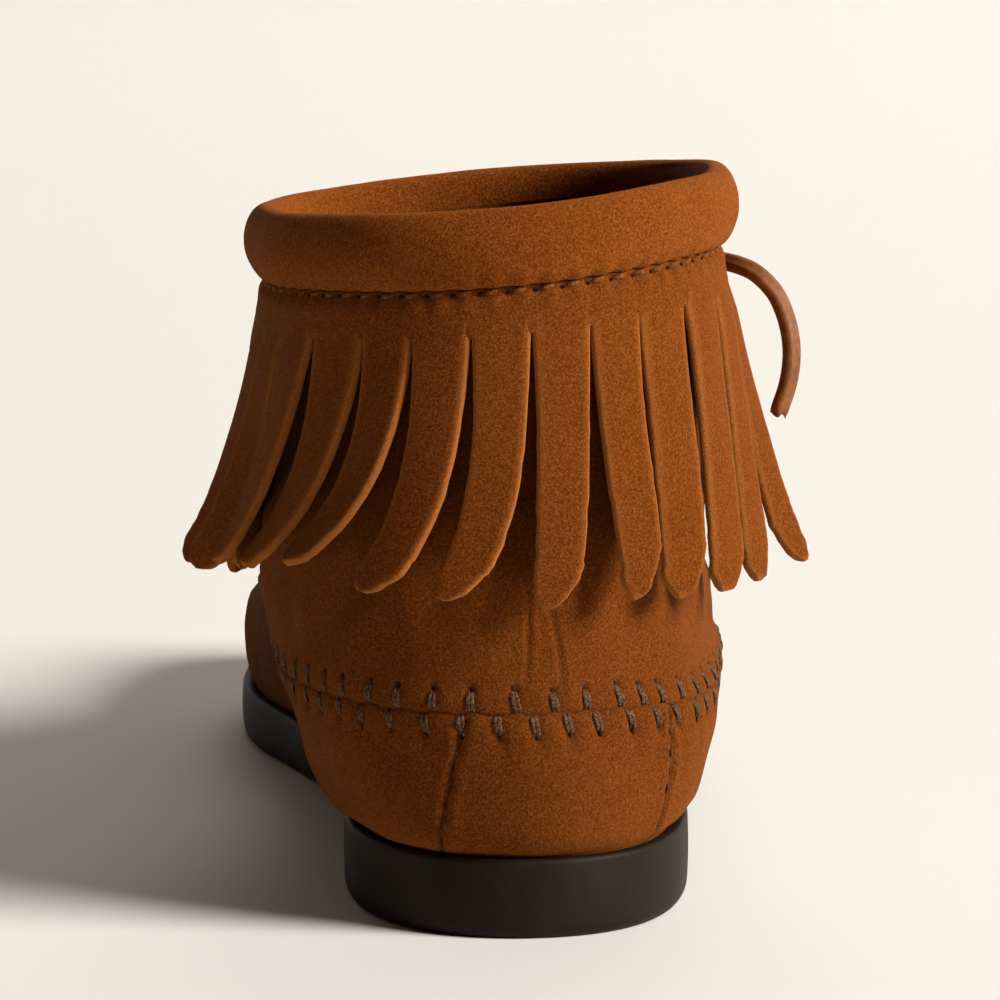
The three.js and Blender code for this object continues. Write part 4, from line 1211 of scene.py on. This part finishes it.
# Band under the roll: its top edge is thinned into the stitch valley and its lower edge into the
# strands' outer face, so that band and strands read as one cut piece of suede.
def makeFringe():
    turn = spreadTurns(640, topLevel, 1.5)
    topDrop = rollDropAt(turn)[None] + fit
    length = slitDropAt(turn)[None] - topDrop
    pull = collarPull(turn)[None]
    down = [0, 0.03, 0.065, 0.12, 0.19, 0.27, 0.36, 0.47, 0.6, 0.71, 0.8, 0.875, 0.935, 0.975, 1]
    down = np.array(down)[:, None]
    under = down * boot["slitStart"]
    deep = smoothStep(1 - under / collar["valleyTall"], 0, 1)
    out = stripOut - (stripOut - collar["valleyOut"]) * deep - collar["pull"] * pull * bell(under - 0.9, 1.6)
    out = out + 0.25 * (1 - pull) * bell(under - 2.2, 1.6) - 0.16 * smoothStep(down, 0.9, 1)
    up = -(topDrop + length * down) - 0.3 * pull * (1 - down) ** 4
    bearing = np.interp(turn, ringTurns, slitBearings)[None]
    out = out + sideFlare(bearing, under)
    rest = np.array([[1.6, 0.1], [1.1, 0.25], [0.6, 0.1], [fit, -0.3], [fit, -4.5]])
    inward = rest[:, :1] + sideFlare(bearing, boot["slitStart"]) * smoothStep(rest[:, :1], fit, 1.6)
    underUp = -(topDrop + length + rest[:, 1:])
    out = np.concatenate([out, inward, np.array([[fit], [0.6]]) + 0 * topDrop])
    up = np.concatenate([up, underUp, -topDrop, -topDrop])
    points = placeOnEdge(turn, out, up)[::-1]
    # Painted shade along the band's top, in the valley under the roll.
    shade = np.zeros(points.shape[:2])
    shade[-len(down):] = 0.22 * bell(down - 0.05, 0.1)[::-1]
    random = np.random.default_rng(5)
    shapes, edges = zip(*[strandShape(row, random) for row in allStrands()])
    band = addGrid("fringeBand", points, closedRows=True, values={"groove": shade.ravel(), "edge": 0})
    strands = addTubes("fringeStrands", np.stack(shapes), {"edge": np.stack(edges).ravel(), "groove": 0})
    dress(strands, suedeStrip, "suede")
    return dress(band, suedeStrip, "suede", "fringe")


makeFringe()
print("fringe made")


# Sole: shares of the named bevel and rim rounding, how full the side wall is, and how far from both
# ends its middle line stops.
sole = {
    "bevel": 0.72, "bevelRise": 1.4, "lip": 0.6, "lipRise": 1.25, "full": -0.14,
    "spineBack": 28, "spineFront": 34, "points": 520,
}
evenTurns = np.linspace(0, 2 * math.pi, sole["points"], endpoint=False)


# A ring of points drawn in towards the sole's middle line by a share.
def drawnIn(ring, share):
    outline = outlineAt(evenTurns, np.zeros(len(evenTurns)))
    half = len(evenTurns) // 2 + 1
    along = alongAt(evenTurns[:half])
    y = np.clip(outline[:, 1], -boot["heelReach"] + sole["spineBack"], toeReach - sole["spineFront"])
    x = np.interp(y, along * boot["soleLength"] - boot["heelReach"], soleCentre(along))
    return ring + (np.stack([x, y], -1) - ring) * share


# A closed piece of rings: each is the outline moved inwards, drawn in, and lifted to a height.
def soleSurface(name, profile):
    rings = []
    for inset, drawn, height in profile:
        plan = outlineAt(evenTurns, np.full(len(evenTurns), float(inset)))
        if drawn > 0:
            plan = drawnIn(plan, drawn)
        z = height(shareOf(plan[:, 1]))
        rings.append(np.concatenate([plan, z[:, None]], -1))
    piece = addGrid(name, np.stack(rings))
    joined = bmesh.new()
    joined.from_mesh(piece.data)
    bmesh.ops.remove_doubles(joined, verts=joined.verts, dist=1e-6)
    joined.to_mesh(piece.data)
    joined.free()
    return piece


# Cup sole: tread, bevel, slightly full side wall, rounded lip and the seat inside it.
def makeOutsole():
    bevel = sole["bevel"] * boot["treadBevel"]
    bevelTall = bevel * sole["bevelRise"]
    lip = sole["lip"] * boot["topRound"]
    lipTall = lip * sole["lipRise"]
    profile = [(bevel, f, treadZ) for f in (1, 0.85, 0.7, 0.5, 0.3, 0.12, 0.03)]
    for angle in np.linspace(0, math.pi / 2, 7):
        rise = bevelTall * (1 - math.cos(angle))
        profile.append((bevel * (1 - math.sin(angle)), 0, lambda s, rise=rise: treadZ(s) + rise))
    for f in np.linspace(0.08, 0.94, 12):

        def wallZ(s, f=f):
            low = treadZ(s) + bevelTall
            return low + (rimZ(s) - lipTall - low) * f

        profile.append((sole["full"] * math.sin(math.pi * f), 0, wallZ))
    for angle in np.linspace(0, math.pi / 2, 6):
        fall = lipTall * (1 - math.sin(angle))
        profile.append((lip * (1 - math.cos(angle)), 0, lambda s, fall=fall: rimZ(s) - fall))
    edge = boot["rimWidth"]
    profile += [(edge - 0.35, 0, lambda s: rimZ(s) - 0.06), (edge, 0, lambda s: rimZ(s) - 0.4)]
    profile += [(edge, 0, lambda s: seatZ(s) + 0.3), (edge + 0.2, 0, seatZ)]
    profile += [(edge + 0.2, f, seatZ) for f in (0.3, 0.7, 1)]
    piece = soleSurface("outsoleRubber", profile)
    return dress(piece, rubberMaterial(), "sole", "outsole")


# Insole: a thin pad with rounded edges, dished a little under the heel and the ball.
def makeInsole():
    edge = boot["rimWidth"] + fit + wall + fit
    thick = boot["insoleThickness"]

    def over(rise, dishing=0):
        def height(s):
            dish = -0.5 * bell(s - 0.14, 0.12) - 0.4 * bell(s - 0.66, 0.14)
            return seatZ(s) + fit + rise + dish * dishing

        return height

    profile = [(edge, 1, over(0)), (edge, 0.5, over(0)), (edge + 0.3, 0, over(0))]
    profile += [(edge, 0, over(0.4)), (edge, 0, over(thick - 0.9))]
    profile += [(edge + 0.25, 0, over(thick - 0.25)), (edge + 0.8, 0, over(thick))]
    for f in (0.12, 0.3, 0.5, 0.7, 0.85, 1):
        profile.append((edge + 0.8, f, over(thick, smoothStep(f, 0.1, 0.5))))
    return dress(soleSurface("insolePad", profile), insoleLeather, "insole", "insole")


makeOutsole()
insoleLeather = plainMaterial("insoleLeather", plain["insole"], plain["insoleDull"])
makeInsole()
print("sole and insole made")

# Thong: its free end runs from the knot at the front round the outer side, arches out and hangs.
lace = {
    "route": [
        (3.5, 88, 109.2), (8.2, 87.1, 109.8), (14, 83.6, 109.7), (20, 78.5, 109.3), (26, 72.8, 108.8),
        (31.5, 66.5, 108.2), (36, 60, 107.6), (39.5, 54, 107.3), (42.6, 49.2, 107.2), (45.4, 46.5, 106.3),
        (47.6, 45, 104.6), (49.5, 44.2, 102.3), (50.9, 43.4, 99.2), (51.8, 42.8, 96), (52.2, 42.2, 92.5),
        (52, 41.7, 88.9), (51.3, 41.3, 85.5), (50.3, 41, 82.6), (49.7, 41, 80.7),
    ],
    "groove": 0.24, "sides": 20, "steps": 90, "knotSteps": 32, "cut": 0.35, "stubCut": 0.2,
    "turnTowards": (0.45, -0.9, 0.1), "holeSize": 2.2,
}


# A centripetal curve through points, at even steps.
def smoothPath(points, count):
    p = np.asarray(points, float)
    p = np.concatenate([[2 * p[0] - p[1]], p, [2 * p[-1] - p[-2]]])
    spans = len(p) - 3
    w = np.linspace(0, spans, spans * 40 + 1)
    k = np.minimum(w.astype(int), spans - 1)
    dense = catmull(p[k], p[k + 1], p[k + 2], p[k + 3], (w - k)[:, None])
    gone = lengthsAlong(dense)
    at = np.linspace(0, gone[-1], count)
    return np.stack([np.interp(at, gone, dense[:, i]) for i in range(3)], -1)


# A round thong along a path, with a groove on its outer side and a flatter inner side. Its last
# ring is cut roughly where rough is more than 0.
def laceShape(path, out, size=None, rough=0.0):
    along = unit(np.gradient(path, axis=0))
    flat = unit(np.cross(out, along))
    lift = unit(np.cross(along, flat))
    angle = np.linspace(0, 2 * math.pi, lace["sides"], endpoint=False)[None]
    r = boot["laceWidth"] / 2 * (1 - lace["groove"] * bell(periodic(angle - math.pi / 2), 0.3))
    r = r * (1 - 0.1 * bell(periodic(angle + math.pi / 2), 0.7))
    r = r * (np.ones(len(path)) if size is None else size)[:, None]
    place = path[:, None] + (np.cos(angle) * r)[..., None] * flat[:, None]
    place = place + (np.sin(angle) * r)[..., None] * lift[:, None]
    if rough:
        slip = rough * (np.sin(angle * 3 + 1) + 0.6 * np.sin(angle * 7))[0]
        place[-1] = place[-1] + slip[:, None] * along[-1]
    return place


# Level directions away from the shaft's upright axis.
def outFromShaft(path):
    away = path - np.array([boot["shaftLean"], axisY, 0])
    away[:, 2] = 0
    return unit(away)


# Thong leather: two tones mixed by grain and streaks, with a slight gloss.
thong = {
    "dark": (0.13, 0.038, 0.005), "pale": (0.27, 0.088, 0.015), "grainShare": 0.6,
    "streakShare": 0.4, "dull": 0.62, "relief": 0.00015, "specular": 0.35,
}


def thongMaterial():
    n = Nodes("thongLeather")
    grain = n.noise(900, 3, 0.6)
    streak = n.noise(180, 2, 0.5)
    grainTone = n.times(n.ramp(grain, 0.3, 0.7), thong["grainShare"])
    streakTone = n.times(n.ramp(streak, 0.35, 0.7), thong["streakShare"])
    color = n.mix(n.math("ADD", grainTone, streakTone), thong["dark"], thong["pale"])
    return n.finish(
        color=color, roughness=thong["dull"], normal=n.bump(grain, 0.5, thong["relief"]),
        specular=thong["specular"],
    )


thongLeather = thongMaterial()


# The free end: a thong along its route, a little thinner at both ends.
def makeLace():
    path = smoothPath(lace["route"], lace["steps"])
    out = outFromShaft(path)
    late = smoothStep(np.linspace(0, 1, len(path)), 0.22, 0.6)[:, None]
    out = unit(out * (1 - late) + np.array(lace["turnTowards"]) * late)
    size = np.ones(len(path))
    size[0] = 0.8
    size[-1] = 0.9
    shape = laceShape(path, out, size, lace["cut"])
    piece = addGrid("thongEnd", shape, capped=True)
    dress(piece, thongLeather, "thong", "lace_end_outer")
    knot = makeKnot()


holeDrop = float(rollDropAt(math.pi)) + fit + boot["laceDrop"]


# One point out from the skin at the holes' height.
def onStrip(turn, out):
    return placeOnEdge(np.array([float(turn)]), np.array([[float(out)]]), -np.array([[holeDrop]]))[0, 0]


# Turn of the hole on one side of the front's middle.
def holeTurn(side):
    speed = np.linalg.norm(onStrip(math.pi + 0.05, stripOut) - onStrip(math.pi, stripOut))
    return math.pi - side * (boot["laceHoleSpread"] / 2) * 0.05 / speed


# Knot: runs from the two holes, a wrapping turn, and the stub of the hidden end.
def makeKnot():
    wide = boot["laceWidth"]
    middle = onStrip(math.pi, stripOut + fit + wide * 1.35)
    level = levelBelow(np.array([math.pi]), np.array([[holeDrop]]))[0]
    _, outward, upward, _ = skinFrame(np.array([math.pi]), level)
    outward, upward = outward[0], upward[0]
    aside = np.array([1.0, 0, 0])

    def at(side, share, lift):
        return onStrip(math.pi + (holeTurn(side) - math.pi) * share, lift)

    def near(x, o, u):
        return middle + x * aside + o * outward + u * upward

    def run(side):
        over = stripOut + fit
        return [
            at(side, 1, 2 * fit), at(side, 1, stripOut + wide * 0.45),
            at(side, 0.82, over + wide * 0.72), at(side, 0.45, over + wide * 0.95), middle,
        ]

    start = np.array(lace["route"][0], float)
    lead = unit(np.array(lace["route"][1], float) - start)
    spout = [near(-1, 0.4, -0.6), near(1, 0.8, 0), start - lead * 2.2, start - lead * 0.8, start + lead * 0.8]
    stub = [near(1, 0.4, 0.6), near(-2.6, 1, -1), near(-4.6, 0.6, -4), near(-5.4, 0, -7)]
    angle = np.linspace(0, 2 * math.pi, 33)[:-1]
    tilt = math.pi / 2 - 0.45
    ring = np.stack([np.cos(angle) * math.cos(tilt), np.sin(angle), -np.cos(angle) * math.sin(tilt)], -1)
    wrap = middle + ring * wide * 0.8
    shapes = []
    for points, rough in ((run(-1), 0), (run(1), 0), (spout, 0), (stub, lace["stubCut"])):
        path = smoothPath(points, lace["knotSteps"])
        shapes.append(laceShape(path, np.broadcast_to(outward, path.shape), rough=rough))

    def joinedEnds(points):
        return np.concatenate([points[-1:], points, points[:1]])

    tube = laceShape(joinedEnds(wrap), unit(joinedEnds(ring)))[1:-1]
    heart = np.mean(tube, 1, keepdims=True)
    tube = heart + (tube - heart) * 0.9
    parts = [addGrid("part", shape, capped=True) for shape in shapes]
    parts.append(addGrid("part", tube, closedRows=True))
    joined = bmesh.new()
    for part in parts:
        joined.from_mesh(part.data)
        bpy.data.objects.remove(part)
    mesh = bpy.data.meshes.new("thongKnot")
    joined.to_mesh(mesh)
    joined.free()
    mesh.polygons.foreach_set("use_smooth", np.ones(len(mesh.polygons), bool))
    piece = bpy.data.objects.new("thongKnot", mesh)
    bpy.context.scene.collection.objects.link(piece)
    dress(piece, thongLeather, "thong", "lace_knot")
    turns = np.array([holeTurn(-1), holeTurn(1)])
    level = levelBelow(turns, np.full((1, 2), holeDrop))[0]
    point, normal, upwards, across = skinFrame(turns, level)
    size = lace["holeSize"]
    centre = point + normal * (stripOut - 0.02)
    addLenses("thongHoles", centre, normal, upwards, across, size, size, 0.08)
    return piece


makeLace()
print("thong made")

# Floor and backdrop in one pale sweep, a large warm key light from the right of the camera, a weak
# light over the backdrop, and a faint warm world for the shadows.
studio = {
    "floor": (0.80, 0.784, 0.752), "far": (0.88, 0.87, 0.845),
    "world": (1.0, 0.68, 0.32), "worldStrength": 0.04,
    "key": (4.1, -2.0, 2.6), "keyAim": (0, 0.05, 0.06), "keySize": 2.4, "keyPower": 540,
    "keyColor": (1, 0.965, 0.92),
    "back": (0.6, 2.8, 3.4), "backAim": (0.2, 2.4, 0), "backSize": 2.4, "backPower": 26,
    "backColor": (1, 0.94, 0.86),
    "halfWidth": 5, "bendFrom": 2.2, "bendSize": 1.2, "top": 4.0,
}


# The sweep: flat, then a quarter circle, then upright, the same at every width.
def makeStage():
    start, size = studio["bendFrom"], studio["bendSize"]
    depth = np.array([-3, -1, 0, 1, start])
    bend = np.linspace(0, math.pi / 2, 16)[1:]
    y = np.concatenate([depth, start + size * np.sin(bend), [start + size]])
    z = np.concatenate([0 * depth, size - size * np.cos(bend), [studio["top"]]])
    x = np.linspace(-studio["halfWidth"], studio["halfWidth"], 9)
    across, deep = np.meshgrid(x, y)
    points = np.stack([across, deep, np.broadcast_to(z[:, None], deep.shape)], -1) / mm
    index = np.arange(deep.size).reshape(deep.shape)
    quads = np.stack([index[:-1, :-1], index[:-1, 1:], index[1:, 1:], index[1:, :-1]], -1)
    piece = addMesh("studioSweep", points.reshape(-1, 3), quads.reshape(-1, 4))
    n = Nodes("studioPaper")
    # The paper grows paler towards the backdrop: painted light, for a backdrop lit brighter than the floor by
    # the boot.
    away = n.add("ShaderNodeSeparateXYZ", {"Vector": n.place}).outputs["Y"]
    color = n.mix(n.ramp(away, 0.2, 1.5), studio["floor"], studio["far"])
    n.finish(color=color, roughness=0.8, specular=0.2)
    piece.data.materials.append(n.material)


# A round area light at its place, turned to its aim.
def addLight(name, kind):
    light = bpy.data.lights.new(name, "AREA")
    light.shape = "DISK"
    light.size = studio[kind + "Size"]
    light.energy = studio[kind + "Power"]
    light.color = studio[kind + "Color"]
    piece = bpy.data.objects.new(name, light)
    piece.location = studio[kind]
    look = Vector(studio[kind + "Aim"]) - Vector(studio[kind])
    piece.rotation_euler = look.to_track_quat("-Z", "Y").to_euler()
    bpy.context.scene.collection.objects.link(piece)


makeStage()
addLight("key", "key")
addLight("backdropLight", "back")
world = bpy.data.worlds.new("studio")
world.use_nodes = True
sky = world.node_tree.nodes["Background"]
sky.inputs["Color"].default_value = (*studio["world"], 1)
sky.inputs["Strength"].default_value = studio["worldStrength"]
bpy.context.scene.world = world
bpy.context.scene.view_settings.view_transform = "Standard"
print("studio made")
